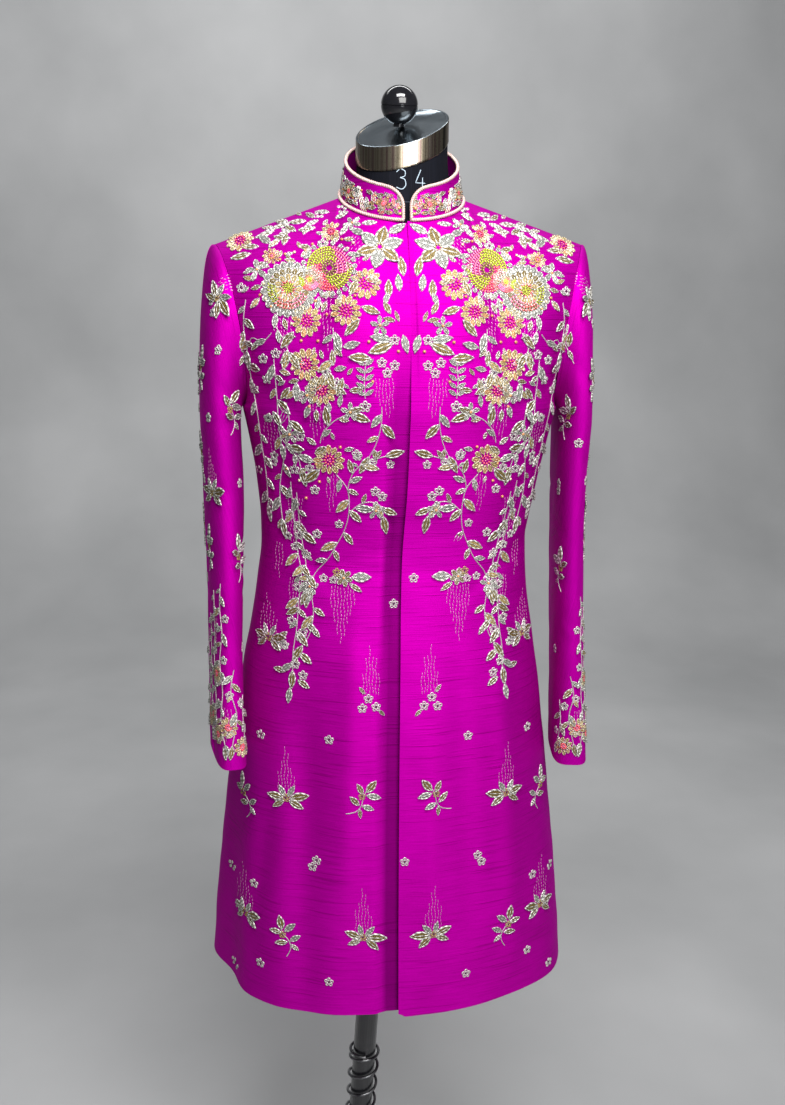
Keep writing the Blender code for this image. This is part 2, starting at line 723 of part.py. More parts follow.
def add_stand(collection, base_axis, materials):
    lean = math.radians(POLE_LEAN)
    pole_axis = add_object(collection, "pole_axis", None, None, base_axis)
    pole_axis.location.x = -POLE_CROSSING_Z * math.tan(lean)
    pole_axis.rotation_euler.y = lean
    low = (HUB_FLOOR + SEAM_GAP + POLE_RADIUS * math.sin(lean)) / math.cos(lean)
    high = (FORM_BOTTOM_Z - SEAM_GAP - POLE_RADIUS * math.sin(lean)) / math.cos(lean)
    work = bmesh.new()
    bmesh.ops.create_cone(work, cap_ends=True, segments=28, radius1=POLE_RADIUS, radius2=POLE_RADIUS,
                          depth=high - low, matrix=Matrix.Translation((0, 0, (low + high) / 2)))
    add_object(collection, "pole", finished_mesh("pole", work), materials["gloss_black"], pole_axis)
    outer = SPRING_RADIUS + WIRE_RADIUS
    start = HUB_HEIGHT + SEAM_GAP + WIRE_RADIUS + outer * math.sin(lean)
    coil = wire_curve("spring", spring_points(start, SPRING_TOP), WIRE_RADIUS, 2)
    add_object(collection, "spring", coil, materials["steel"], pole_axis)
    turned(collection, "base", base_profile(), materials["gloss_black"], base_axis)


def main():
    clear_scene()
    collection = make_collection("sherwani_coat_on_dress_form")
    materials = {
        "silk": make_material("magenta_silk", (0.62, 0.0, 0.46), 0.42),
        "cord": make_material("pale_pink_cord", (0.80, 0.58, 0.52), 0.55),
        "form_cloth": make_material("dark_form_cloth", (0.012, 0.014, 0.022), 0.75),
        "chrome": make_material("brushed_chrome", (0.62, 0.60, 0.57), 0.22, 1.0),
        "gloss_black": make_material("gloss_black", (0.008, 0.008, 0.010), 0.12),
        "steel": make_material("spring_steel", (0.30, 0.30, 0.31), 0.35, 1.0),
    }
    base_axis = add_object(collection, "base_axis", None, None, None)
    coat_axis = add_object(collection, "coat_axis", None, None, base_axis)
    coat_axis.location.x = COAT_X
    add_coat(collection, coat_axis, materials)
    add_form(collection, coat_axis, materials)
    add_stand(collection, base_axis, materials)
    bpy.context.view_layer.update()


main()
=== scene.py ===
# %% [markdown]
# # An embroidered sherwani on a dress form
# A sherwani is a long, close coat with a standing collar. This one is magenta raw silk, sewn over with
# metal thread, coils and beads. The lesson starts from a frame of plain solids that already have the
# right sizes and places, and gives each one its cloth, its finish and its needlework. Lengths are metres,
# the floor is at z = 0, the coat faces -Y, and +X is the wearer's left, which the camera sees on its right.

# %% Load the frame
from math import asin, atan2, copysign, cos, degrees, exp, hypot, pi, radians, sin, sqrt, tan

import bmesh
import bpy
import numpy as np
from mathutils import Matrix, Vector
from mathutils.bvhtree import BVHTree


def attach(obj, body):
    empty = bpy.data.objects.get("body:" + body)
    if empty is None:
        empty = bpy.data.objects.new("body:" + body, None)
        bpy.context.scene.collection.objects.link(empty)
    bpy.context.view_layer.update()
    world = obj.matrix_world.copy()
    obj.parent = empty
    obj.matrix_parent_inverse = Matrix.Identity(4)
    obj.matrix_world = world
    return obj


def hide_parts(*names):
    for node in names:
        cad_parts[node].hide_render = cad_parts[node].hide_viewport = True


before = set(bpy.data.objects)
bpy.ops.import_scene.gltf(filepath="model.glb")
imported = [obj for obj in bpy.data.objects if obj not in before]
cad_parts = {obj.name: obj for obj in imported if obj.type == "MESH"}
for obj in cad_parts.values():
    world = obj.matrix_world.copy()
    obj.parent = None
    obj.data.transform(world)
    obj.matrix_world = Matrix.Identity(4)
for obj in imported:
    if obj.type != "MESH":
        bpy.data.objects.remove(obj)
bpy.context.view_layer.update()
BODY = "root"
scene = bpy.context.scene

# %% [markdown]
# ## Camera, light and floor
# The camera comes first, because every later choice is judged through it. It stands at chest height,
# a little to the left of the coat's middle, close enough that the shoulders look larger than the hem.
# The main light is one large softbox in front, to the right and high up. A strip hangs almost overhead,
# a fill stands low, and a fourth light is for the backdrop. Silk shows its shape by how fast it falls
# into shade, so the fill stays weak.

# %% Camera
COAT_X = 0.056             # the coat's axis, beside the middle of the base
IMAGE_HEIGHT = 1105        # pixels of the upright image
FOCAL_PIXELS = 1050.0
CAMERA_DISTANCE = 1.2724
CAMERA_HEIGHT = 1.3162
CAMERA_AZIMUTH = radians(-5.9)
CAMERA_PITCH = radians(13.04)
CAMERA_YAW = radians(-0.295)
CAMERA_ROLL = radians(0.536)


def add_object(name, data):
    thing = bpy.data.objects.new(name, data)
    scene.collection.objects.link(thing)
    return thing


def new_mesh(name, verts, faces, edges=()):
    mesh = bpy.data.meshes.new(name)
    mesh.from_pydata(verts, edges, faces)
    return mesh


def add_camera():
    place = Vector((COAT_X + CAMERA_DISTANCE * sin(CAMERA_AZIMUTH),
                    -CAMERA_DISTANCE * cos(CAMERA_AZIMUTH), CAMERA_HEIGHT))
    heading = CAMERA_AZIMUTH - CAMERA_YAW
    ahead = Vector((-sin(heading) * cos(CAMERA_PITCH),
                    cos(heading) * cos(CAMERA_PITCH), -sin(CAMERA_PITCH)))
    right = ahead.cross(Vector((0, 0, 1))).normalized()
    above = right.cross(ahead)
    turned_right = right * cos(CAMERA_ROLL) + above * sin(CAMERA_ROLL)
    turned_above = above * cos(CAMERA_ROLL) - right * sin(CAMERA_ROLL)
    data = bpy.data.cameras.new("camera")
    data.sensor_fit = "AUTO"
    data.sensor_width = 36.0
    data.lens = data.sensor_width * FOCAL_PIXELS / IMAGE_HEIGHT
    camera = add_object("camera", data)
    basis = Matrix((turned_right, turned_above, -ahead)).transposed().to_4x4()
    camera.matrix_world = Matrix.Translation(place) @ basis
    scene.camera = camera
    return camera


camera = add_camera()
print("camera at", [round(v, 3) for v in camera.location], "lens", round(camera.data.lens, 1), "mm")

# %% Lights and the world's own light


def add_softbox(name, place, aim, size, power, color=(1.0, 1.0, 1.0)):
    data = bpy.data.lights.new(name, "AREA")
    data.shape = "RECTANGLE"
    data.size, data.size_y = size
    data.energy = power
    data.color = color
    light = add_object(name, data)
    light.location = place
    light.rotation_euler = (Vector(aim) - Vector(place)).to_track_quat("-Z", "Y").to_euler()


CHEST = (COAT_X, 0.0, 1.10)
add_softbox("key", (0.55, -2.05, 2.20), CHEST, (1.6, 1.2), 49.0, (1.0, 0.99, 0.97))
add_softbox("strip", (0.15, -1.2, 2.9), (COAT_X, 0.0, 1.3), (1.4, 0.5), 54.0)
add_softbox("low_fill", (0.70, -2.6, 0.9), (COAT_X, 0.0, 0.8), (0.8, 0.8), 8.0, (0.95, 0.97, 1.0))
add_softbox("backdrop_light", (0.0, 1.2, 3.4), (0.0, 3.2, 1.2), (3.4, 0.9), 82.0)
world = bpy.data.worlds.new("studio")
world.use_nodes = True
sky = world.node_tree.nodes["Background"]
sky.inputs["Color"].default_value = (0.80, 0.82, 0.86, 1.0)
sky.inputs["Strength"].default_value = 0.09
scene.world = world
scene.view_settings.view_transform = "Standard"

# %% [markdown]
# ## Small helpers for materials
# A material is a small graph. add_node adds a node and fills its inputs, each with a plain value or with
# what another node puts out, so a graph reads from its first node to its last. The others give what most
# finishes share: noise that stays with the object, a range, a bump, a colour ramp and a sum.

# %% Nodes and their inputs


def feed(tree, node, values):
    """Inputs by name or number, each with a plain value, a node's first output or a named output."""
    for name, value in values.items():
        if isinstance(value, bpy.types.Node):
            value = value.outputs[0]
        if isinstance(value, bpy.types.NodeSocket):
            tree.links.new(value, node.inputs[name])
        else:
            node.inputs[name].default_value = value


def add_node(tree, kind, values=None, **settings):
    made = tree.nodes.new(kind)
    for name, value in settings.items():
        setattr(made, name, value)
    feed(tree, made, values or {})
    return made


def object_place(tree):
    return add_node(tree, "ShaderNodeTexCoord").outputs["Object"]


def noise(tree, place, scale, detail, roughness=0.5):
    return add_node(tree, "ShaderNodeTexNoise", {
        "Vector": place, "Scale": scale, "Detail": detail, "Roughness": roughness}).outputs["Fac"]


def spread(tree, value, low, high, start=0.0, end=1.0):
    """A value between start and end, spread over low to high."""
    return add_node(tree, "ShaderNodeMapRange", {
        "Value": value, "From Min": start, "From Max": end, "To Min": low, "To Max": high})


def relief(tree, height, strength, distance):
    return add_node(tree, "ShaderNodeBump", {"Height": height, "Strength": strength, "Distance": distance})


def calculate(tree, operation, *values):
    return add_node(tree, "ShaderNodeMath", dict(enumerate(values)), operation=operation)


def scaled(tree, color, factor):
    return add_node(tree, "ShaderNodeVectorMath", {0: color, "Scale": factor}, operation="SCALE")


def new_material(name, values):
    material = bpy.data.materials.new(name)
    material.use_nodes = True
    tree = material.node_tree
    shader = tree.nodes["Principled BSDF"]
    feed(tree, shader, values)
    return material, tree, shader


def ramp(tree, stops, value):
    """A colour ramp with given stops, fed by a value."""
    made = add_node(tree, "ShaderNodeValToRGB", {"Fac": value})
    while len(made.color_ramp.elements) < len(stops):
        made.color_ramp.elements.new(0.5)
    for element, (place, color) in zip(made.color_ramp.elements, stops):
        element.position = place
        element.color = (*color, 1.0)
    return made.outputs["Color"]


def cloudy_material(name, values, scale, detail, rough, stops):
    """A finish whose roughness and colour drift together on one cloudy noise."""
    material, tree, shader = new_material(name, values)
    cloud = noise(tree, object_place(tree), scale, detail)
    feed(tree, shader, {"Roughness": spread(tree, cloud, *rough), "Base Color": ramp(tree, stops, cloud)})
    return material, tree, shader


# %% Floor and backdrop in one sweep
FLOOR_HALF = 5.0
SWEEP_STEPS = 12
SWEEP_START = 2.4
SWEEP_RADIUS = 1.3
WALL_TOP = 4.6


def add_sweep():
    """A pale floor that curves up into a wall behind the object."""
    profile = [(-FLOOR_HALF, 0.0)]
    for step in range(SWEEP_STEPS + 1):
        turn = pi / 2 * step / SWEEP_STEPS
        profile.append((SWEEP_START + SWEEP_RADIUS * sin(turn), SWEEP_RADIUS * (1 - cos(turn))))
    profile.append((SWEEP_START + SWEEP_RADIUS, WALL_TOP))
    verts = [(x, y, z) for y, z in profile for x in (-FLOOR_HALF, FLOOR_HALF)]
    faces = [(2 * i, 2 * i + 1, 2 * i + 3, 2 * i + 2) for i in range(len(profile) - 1)]
    mesh = new_mesh("floor", verts, faces)
    mesh.shade_smooth()
    material, tree, shader = new_material("pale_floor", {"Roughness": 0.55})
    cloud = noise(tree, object_place(tree), 1.6, 4.0)
    greys = ((0.3, (0.33, 0.335, 0.34)), (0.7, (0.42, 0.425, 0.43)))
    feed(tree, shader, {"Base Color": ramp(tree, greys, cloud)})
    mesh.materials.append(material)
    return add_object("floor", mesh)


floor = add_sweep()

# %% [markdown]
# ## The cut of the coat
# The coat is shaped by its cut. Below the armholes a level section is a rounded box whose half width and
# depths are read from a short table. Above, each panel is spread between four seams: the middle, the
# armhole, the underarm's height and the neck with the shoulder. These are the same sizes as the solids',
# so each sheet of cloth lies exactly where its solid is.

# %% Sizes of the coat
CLOTH = 0.0018
SEAM_GAP = 0.0003
HEM_Z = 0.480
UNDERARM_Z = 1.205
UNDERLAP = 0.08
UNDERLAP_GAP = 0.0010
OVER_HEM_DROP = 0.005
CORNER_RISE = 0.004
CORNER_SHARE = 0.02
# z, middle x, half width, front, back, squareness
SECTIONS = (
    (0.480, -0.0090, 0.2335, 0.152, 0.150, 2.15),
    (0.580, -0.0095, 0.2250, 0.148, 0.147, 2.20),
    (0.730, -0.0095, 0.2067, 0.139, 0.140, 2.25),
    (0.870, -0.0085, 0.1871, 0.128, 0.132, 2.30),
    (1.030, -0.0060, 0.1629, 0.106, 0.103, 2.35),
    (1.120, -0.0015, 0.1700, 0.115, 0.108, 2.40),
    (1.205, 0.0000, 0.1870, 0.125, 0.116, 2.45),
)
# Soft flutes of the skirt: angle from the middle front, depth at the hem, half the width in degrees, top
FLUTES = (
    (-72.0, 0.017, 24.0, 0.90),
    (-28.0, -0.007, 24.0, 0.86),
    (96.0, 0.008, 22.0, 0.84),
    (58.0, -0.005, 20.0, 0.78),
    (145.0, 0.007, 20.0, 0.88),
    (-118.0, -0.008, 22.0, 0.86),
    (-150.0, 0.008, 18.0, 0.84),
)
NECK_HALF_WIDTH = 0.070
NECK_FRONT = 0.065
NECK_BACK = 0.064
NECK_SIDE_Z = 1.441
NECK_SLOPE = 0.46
SHOULDER_TIP = (0.2155, 0.005, 1.390)
SHOULDER_SWAY = 0.003
ARMHOLE_FRONT = 0.064
ARMHOLE_BACK = 0.060
ARMHOLE_HOLLOW = 0.016
NECK_SHARE = 0.41
CHEST_FULLNESS = 0.006
BLADE_FULLNESS = 0.015
FIELD = (0.24, 0.13, 0.22)
FULL_TURN = 2 * pi

# %% Curves through the tables


def table_row(table, key):
    """Every column but the first at a height, each on a smooth curve through the table's rows."""
    keys, *columns = zip(*table)
    last = len(keys) - 1
    index = min(max(int(np.searchsorted(keys, key)) - 1, 0), last - 1)
    span = keys[index + 1] - keys[index]
    share = (key - keys[index]) / span
    square, cube = share ** 2, share ** 3

    def slope(values, i):
        low, high = max(i - 1, 0), min(i + 1, last)
        return (values[high] - values[low]) / (keys[high] - keys[low]) * span

    return [values[index] * (2 * cube - 3 * square + 1) + values[index + 1] * (3 * square - 2 * cube)
            + slope(values, index) * (cube - 2 * square + share) + slope(values, index + 1) * (cube - square)
            for values in columns]


def signed_power(value, power):
    return copysign(abs(value) ** power, value)


def smooth_step(value):
    value = min(max(value, 0.0), 1.0)
    return value * value * (3 - 2 * value)


# %% Points of the body panels


def flute_depth(angle, z):
    depth = 0.0
    for middle, deep, half_angle, top_z in FLUTES:
        away = abs((angle - middle + 180.0) % 360.0 - 180.0) / half_angle
        if away < 1.0:
            swell = 0.5 + 0.5 * cos(pi * away)
            depth += deep * swell * smooth_step((top_z - z) / (top_z - HEM_Z))
    return depth


def section_point(z, angle, fluted=True):
    middle_x, half, front, back, squareness = table_row(SECTIONS, min(max(z, HEM_Z), UNDERARM_Z))
    turn = radians(angle)
    depth = front if cos(turn) > 0 else back
    power = 2.0 / squareness
    flat = Vector((half * signed_power(sin(turn), power),
                   -depth * signed_power(cos(turn), power), 0.0))
    if fluted:
        flat *= 1.0 - flute_depth(angle, z) / flat.length
    return Vector((flat.x + middle_x, flat.y, z))


def neck_point(angle):
    turn = radians(angle)
    depth = NECK_FRONT if cos(turn) > 0 else NECK_BACK
    y = -depth * cos(turn)
    return Vector((NECK_HALF_WIDTH * sin(turn), y, NECK_SIDE_Z + NECK_SLOPE * y))


def shoulder_tip(side):
    return Vector((side * SHOULDER_TIP[0], SHOULDER_TIP[1], SHOULDER_TIP[2] + side * SHOULDER_SWAY))


def armhole_point(side, face, share):
    turn = pi * share
    point = section_point(UNDERARM_Z, 90.0 * side).lerp(shoulder_tip(side), (1 - cos(turn)) / 2)
    depth = ARMHOLE_FRONT if face < 0 else ARMHOLE_BACK
    point.x -= side * ARMHOLE_HOLLOW * sin(turn)
    point.y += face * depth * sin(turn)
    return point


def middle_line(face, share):
    middle_angle, swell, knee_share = (0.0, 0.0, 0.62) if face < 0 else (180.0, 0.005, 0.66)
    low = section_point(UNDERARM_Z, middle_angle)
    high = neck_point(middle_angle)
    knee = Vector((0.0, low.y + swell, low.z + knee_share * (high.z - low.z)))
    return low * (1 - share) ** 2 + knee * 2 * share * (1 - share) + high * share ** 2


def panel_angle(side, face, across):
    return side * 90.0 * across if face < 0 else side * (180.0 - 90.0 * across)


def low_seam(side, face, across):
    return section_point(UNDERARM_Z, panel_angle(side, face, across))


def top_seam(side, face, across):
    if across < NECK_SHARE:
        return neck_point(panel_angle(side, face, across / NECK_SHARE))
    return neck_point(90.0 * side).lerp(shoulder_tip(side), (across - NECK_SHARE) / (1 - NECK_SHARE))


def yoke_point(side, face, across, up):
    point = low_seam(side, face, across).lerp(top_seam(side, face, across), up)
    point += middle_line(face, up).lerp(armhole_point(side, face, up), across)
    low_ends = low_seam(side, face, 0.0).lerp(low_seam(side, face, 1.0), across)
    top_ends = top_seam(side, face, 0.0).lerp(top_seam(side, face, 1.0), across)
    point -= low_ends.lerp(top_ends, up)
    fullness = CHEST_FULLNESS if face < 0 else BLADE_FULLNESS
    point.y += face * fullness * sin(pi * across) * sin(pi * up)
    return point


def outward(point):
    rise = max(point.z - UNDERARM_Z, 0.0)
    return Vector((point.x / FIELD[0] ** 2, point.y / FIELD[1] ** 2, rise / FIELD[2] ** 2)).normalized()


# %% [markdown]
# ## Creases
# A pressed silk coat has few creases, but without them it looks cast. Each one here is a straight trough
# or ridge with soft sides and fading ends, given by its two ends on the panel, its half width and its
# depth. They are uneven on purpose. A slow ripple under them keeps the sheen from being ruler straight.

# %% The creases of each panel and the ripple
MM = 0.001
CREASE_STRENGTH = 1.35
CALM_Z = 1.40              # the top seams are pressed flat from here up
# By face, -1 in front and 1 behind, in millimetres: across from the coat's middle and height of one end,
# the same of the other end, half width, depth
CREASE_ROWS = {
    -1: (
        (-12, 1052, -75, 1040, 4.5, 1.1), (-20, 1021, -110, 1035, 5.5, 1.3),
        (14, 1028, 85, 1016, 5, 1.2), (20, 1066, 70, 1072, 4, 0.8), (150, 1050, 70, 996, 8, 1.6),
        (-152, 1070, -85, 1006, 8, 1.8), (-158, 1180, -120, 1060, 11, 2.2),
        (160, 1176, 126, 1070, 11, 1.8), (-172, 1235, -105, 1190, 9, 1.6),
        (176, 1240, 115, 1205, 9, 1.4), (-60, 960, -72, 640, 16, -2.2), (-118, 860, -126, 480, 26, 6.2),
        (60, 905, 78, 600, 18, 1.8), (112, 930, 140, 530, 16, -2), (-30, 930, -20, 760, 10, 1),
        (28, 800, 34, 540, 12, -1.2), (-165, 720, -196, 520, 14, 3),
    ),
    1: (
        (0, 1060, 80, 1040, 6, 1.4), (-10, 1030, -90, 1046, 6, 1.6), (150, 1180, 80, 1060, 11, 2.2),
        (-155, 1160, -90, 1050, 11, 2), (55, 930, 74, 560, 18, 2.6), (-50, 900, -60, 600, 16, -2),
        (-120, 860, -150, 540, 20, 3), (130, 840, 150, 560, 16, -1.8), (100, 1330, 165, 1270, 10, 1.4),
        (-96, 1322, -160, 1250, 10, 1.6),
    ),
}
CREASES = {face: [[value * MM for value in row] for row in rows] for face, rows in CREASE_ROWS.items()}


def crease_depth(face, x, z):
    depth = 0.0
    for x0, z0, x1, z1, half, deep in CREASES[face]:
        along_x, along_z = x1 - x0, z1 - z0
        share = ((x - x0) * along_x + (z - z0) * along_z) / (along_x ** 2 + along_z ** 2)
        away = hypot(x - x0 - share * along_x, z - z0 - share * along_z)
        if -0.3 < share < 1.3 and away < 3 * half:
            fade = smooth_step((0.3 + share) / 0.55) * smooth_step((1.3 - share) / 0.55)
            depth += deep * exp(-(away / half) ** 2) * fade
    return depth


def ripple(x, z):
    """A slow unevenness of a few tenths of a millimetre."""
    slow = sin(41 * x + 9 * sin(7 * z)) * sin(19 * z + 3 * sin(23 * x))
    level = sin(118 * z + 4 * sin(17 * x)) * (0.5 + 0.5 * sin(13 * z + 29 * x))
    return 0.00055 * slow + 0.00022 * level


def pressed(point, face):
    """The point with its creases and the ripple, which die away at the top seams."""
    calm = smooth_step((CALM_Z - point.z) / 0.05)
    depth = (CREASE_STRENGTH * crease_depth(face, point.x, point.z) + ripple(point.x, point.z)) * calm
    return point - outward(point) * depth


# %% [markdown]
# ## Walls of cloth
# A sheet of cloth becomes a thin closed wall: a fine grid on its outer face, the same grid moved inwards
# and the rims between them. The wall gets a UV map in metres, along the weft and up the warp, so that
# the weave follows the cloth round the body and never stretches.

# %% A wall from two grids, with its own map in metres


def closed_mesh(work, mesh, sharp_angle):
    """Put the work mesh back with its faces outwards, smooth except at sharper edges."""
    bmesh.ops.recalc_face_normals(work, faces=work.faces)
    if work.calc_volume(signed=True) < 0:
        bmesh.ops.reverse_faces(work, faces=work.faces)
    work.to_mesh(mesh)
    work.free()
    mesh.shade_smooth()
    mesh.set_sharp_from_angle(angle=radians(sharp_angle))
    return mesh


def grid_lengths(grid):
    """The distance of each point from the first column, and from the first row."""
    across, up = [], []
    for row in grid:
        run = [0.0]
        for a, b in zip(row, row[1:]):
            run.append(run[-1] + (b - a).length)
        across.append(run)
    for r, row in enumerate(grid):
        if r == 0:
            up.append([0.0] * len(row))
        else:
            up.append([up[-1][c] + (row[c] - grid[r - 1][c]).length for c in range(len(row))])
    return across, up


def grid_area(grid):
    total = 0.0
    for low, high in zip(grid, grid[1:]):
        for a, b, c, d in zip(low, low[1:], high[1:], high):
            total += (b - a).cross(d - a).length / 2 + (b - c).cross(d - c).length / 2
    return total


shift = Vector((COAT_X, 0, 0))


def wall_object(name, outer, inner, material, level_weft=True):
    """A closed wall with a UV map called cloth. With level_weft the threads stay at one height."""
    rows, columns = len(outer), len(outer[0])
    across, up = grid_lengths(outer)
    verts = [point + shift for grid in (outer, inner) for row in grid for point in row]
    count = rows * columns
    faces = []
    for r in range(rows - 1):
        for c in range(columns - 1):
            a = r * columns + c
            faces.append((a, a + 1, a + columns + 1, a + columns))
            faces.append((a + count, a + columns + count, a + columns + 1 + count, a + 1 + count))
    rim = ([(c, 0) for c in range(columns)] + [(columns - 1, r) for r in range(1, rows)]
           + [(c, rows - 1) for c in range(columns - 2, -1, -1)] + [(0, r) for r in range(rows - 2, 0, -1)])
    for (c, r), (d, s) in zip(rim, rim[1:] + rim[:1]):
        a, b = r * columns + c, s * columns + d
        faces.append((b, a, a + count, b + count))
    mesh = new_mesh(name, verts, faces)
    layer = mesh.uv_layers.new(name="cloth")
    corner_verts = np.empty(len(mesh.loops), dtype=np.int32)
    mesh.loops.foreach_get("vertex_index", corner_verts)
    spots = np.array([(across[r][c], outer[r][c].z if level_weft else up[r][c])
                      for r in range(rows) for c in range(columns)])
    layer.data.foreach_set("uv", spots[corner_verts % count].ravel())
    work = bmesh.new()
    work.from_mesh(mesh)
    bmesh.ops.remove_doubles(work, verts=work.verts, dist=0.00001)
    closed_mesh(work, mesh, 50)
    mesh.materials.append(material)
    print(name, len(mesh.polygons), "faces,", round(grid_area(outer), 3), "square metres")
    return add_object(name, mesh)


# %% [markdown]
# ## Raw silk
# Raw silk is woven from uneven yarn. Its thick places, the slubs, run along the weft as fine level
# streaks, lighter and darker by turns. The face is softer than satin, but its highlights take the
# cloth's own colour, so a good part of the shader's metallic value goes in. The weave is a node group
# with named sizes, because the coat and the dress form both use it.

# %% The weave as a node group


def add_socket(tree, name, kind, value=None, way="INPUT"):
    made = tree.interface.new_socket(name=name, in_out=way, socket_type="NodeSocket" + kind)
    if value is not None:
        made.default_value = value


def weave_group():
    tree = bpy.data.node_groups.new("slub weave", "ShaderNodeTree")
    add_socket(tree, "Vector", "Vector", (0, 0, 0))
    add_socket(tree, "Streak Length", "Float", 18.0)
    add_socket(tree, "Streak Fineness", "Float", 620.0)
    add_socket(tree, "Slub Amount", "Float", 0.5)
    add_socket(tree, "Shade", "Float", way="OUTPUT")
    add_socket(tree, "Height", "Float", way="OUTPUT")
    entry = add_node(tree, "NodeGroupInput").outputs
    scale = add_node(tree, "ShaderNodeCombineXYZ", {
        "X": entry["Streak Length"], "Y": entry["Streak Fineness"], "Z": 1.0})
    spot = add_node(tree, "ShaderNodeVectorMath", {0: entry["Vector"], 1: scale}, operation="MULTIPLY")
    coarse = add_node(tree, "ShaderNodeVectorMath", {0: spot, 1: (0.55, 0.42, 1.0)}, operation="MULTIPLY")
    threads = noise(tree, spot, 1.0, 3.0, 0.62)
    slubs = spread(tree, noise(tree, coarse, 1.0, 1.0, 0.4), 0.0, 1.0, 0.60, 0.74)
    amount = calculate(tree, "MULTIPLY", slubs, entry["Slub Amount"])
    add_node(tree, "NodeGroupOutput", {"Height": calculate(tree, "ADD", threads, amount),
                                       "Shade": calculate(tree, "SUBTRACT", threads, amount)})
    return tree


def add_weave(tree, place, streak_length, fineness, slub_amount):
    return add_node(tree, "ShaderNodeGroup", {
        "Vector": place, "Streak Length": streak_length, "Streak Fineness": fineness,
        "Slub Amount": slub_amount}, node_tree=weave).outputs


weave = weave_group()
print("weave inputs", [item.name for item in weave.interface.items_tree if item.in_out == "INPUT"])

# %% Magenta silk


def silk_material(name, deep, bright, roughness, bump):
    material, tree, shader = new_material(name, {
        "Metallic": 0.66, "Specular Tint": (1.0, 0.05, 0.85, 1.0), "Specular IOR Level": 0.2,
        "Anisotropic": 0.40, "Anisotropic Rotation": 0.25})
    place = add_node(tree, "ShaderNodeUVMap", uv_map="cloth")
    cloth = add_weave(tree, place, 22.0, 950.0, 0.52)
    mixed = calculate(tree, "MULTIPLY_ADD", noise(tree, place, 9.0, 2.0), 0.30, cloth["Shade"])
    # Painted shadow: the base colour is darkened by the attribute called pressed, where the upper front's
    # edge would shade the under front.
    edge_shadow = add_node(tree, "ShaderNodeAttribute", attribute_name="pressed")
    left = calculate(tree, "SUBTRACT", 1.0, edge_shadow.outputs["Fac"])
    feed(tree, shader, {
        "Base Color": scaled(tree, ramp(tree, ((0.34, deep), (0.86, bright)), mixed), left),
        "Tangent": add_node(tree, "ShaderNodeTangent", direction_type="UV_MAP", uv_map="cloth"),
        "Roughness": spread(tree, cloth["Shade"], roughness - 0.06, roughness + 0.10),
        "Normal": relief(tree, cloth["Height"], bump, 0.0006)})
    return material


silk = silk_material("magenta_silk", deep=(0.37, 0.0, 0.26), bright=(0.53, 0.0, 0.39),
                     roughness=0.62, bump=0.55)
print("silk ready")

# %% [markdown]
# ## Fronts and back
# The wearer's left front lies on top and its hem drops a little towards the front edge, where the corner
# is rounded. The other front dips beside that edge and runs on underneath. Both are evaluated much finer
# than the solids, so that the body's curves stay round when the light grazes them.

# %% Columns up a panel
SKIRT_ROWS = 96
YOKE_ROWS = 44
SIDE_END = 1.0 - 0.0006
TOP_END = 1.0 - 0.0008
UNDERLAP_COLUMNS = 6
EASING_ROUNDS = 26
BAND_WIDTH = 0.062         # part of the panel that dips beside the front edge
BAND_DEPTH = 0.0040        # how far the dip goes below what the two cloths need
BAND_TOP_Z = 1.30          # where the dip dies away under the collar
# Painted shadow: the under front's colour is darkened in a strip beside the upper front's edge, where that
# edge would shade it.
EDGE_SHADOW_WIDTH = 0.018      # the dark strip beside the edge of the upper front
EDGE_SHADOW_STRENGTH = 0.54       # how much of the silk's colour it loses
EDGE_SHADOW_TOP_Z = 1.34
ACROSS = ([NECK_SHARE * i / 26 for i in range(26)]
          + [NECK_SHARE + (1 - NECK_SHARE) * i / 38 for i in range(39)])


def panel_column(side, face, across, hem_z):
    across = min(across, SIDE_END)
    angle = panel_angle(side, face, across)
    column = [section_point(hem_z + (UNDERARM_Z - hem_z) * r / SKIRT_ROWS, angle) for r in range(SKIRT_ROWS)]
    column += [yoke_point(side, face, across, TOP_END * r / YOKE_ROWS) for r in range(YOKE_ROWS + 1)]
    return [pressed(point, face) for point in column]


def rows_from_columns(columns):
    return [list(row) for row in zip(*columns)]


def eased(grid):
    """The panel with its yoke eased across, so that no line runs down from the neck's corner."""
    for _ in range(EASING_ROUNDS):
        for r in range(SKIRT_ROWS + 1, len(grid) - 1):
            hold = 1 - (r - SKIRT_ROWS) / YOKE_ROWS
            share = 0.5 * smooth_step(3 * hold) * smooth_step(4 * (1 - hold))
            row = grid[r]
            middles = [(row[c - 1] + row[c + 1]) / 2 for c in range(1, len(row) - 1)]
            for c, middle in enumerate(middles, 1):
                row[c] = Vector((row[c].x, row[c].y + (middle.y - row[c].y) * share, row[c].z))
    return grid


def moved_in(grid):
    return [[point - outward(point) * CLOTH for point in row] for row in grid]


def front_on_top_grid():
    columns = []
    for across in sorted(set(ACROSS) | {0.003, 0.006, 0.010, 0.014, CORNER_SHARE}):
        rise = CORNER_RISE * (1 - smooth_step(across / CORNER_SHARE)) if across < CORNER_SHARE else 0.0
        hem_z = HEM_Z - OVER_HEM_DROP * (1 - smooth_step(2 * across)) + rise
        columns.append(panel_column(1, -1, across, hem_z))
    return rows_from_columns(columns)


def front_below_grid():
    columns = []
    for share in [-UNDERLAP + UNDERLAP * i / UNDERLAP_COLUMNS for i in range(UNDERLAP_COLUMNS)] + ACROSS:
        side = 1 if share < 0 else -1
        column = panel_column(side, -1, abs(share), HEM_Z)
        near = 1 - smooth_step(share / UNDERLAP)
        band = BAND_DEPTH * (1 - smooth_step((share - 0.6 * BAND_WIDTH) / (0.4 * BAND_WIDTH)))
        dipped = []
        for point in column:
            low = band * smooth_step((BAND_TOP_Z - point.z) / 0.12)
            dipped.append(point - outward(point) * ((CLOTH + UNDERLAP_GAP) * near + low))
        columns.append(dipped)
    return rows_from_columns(columns)


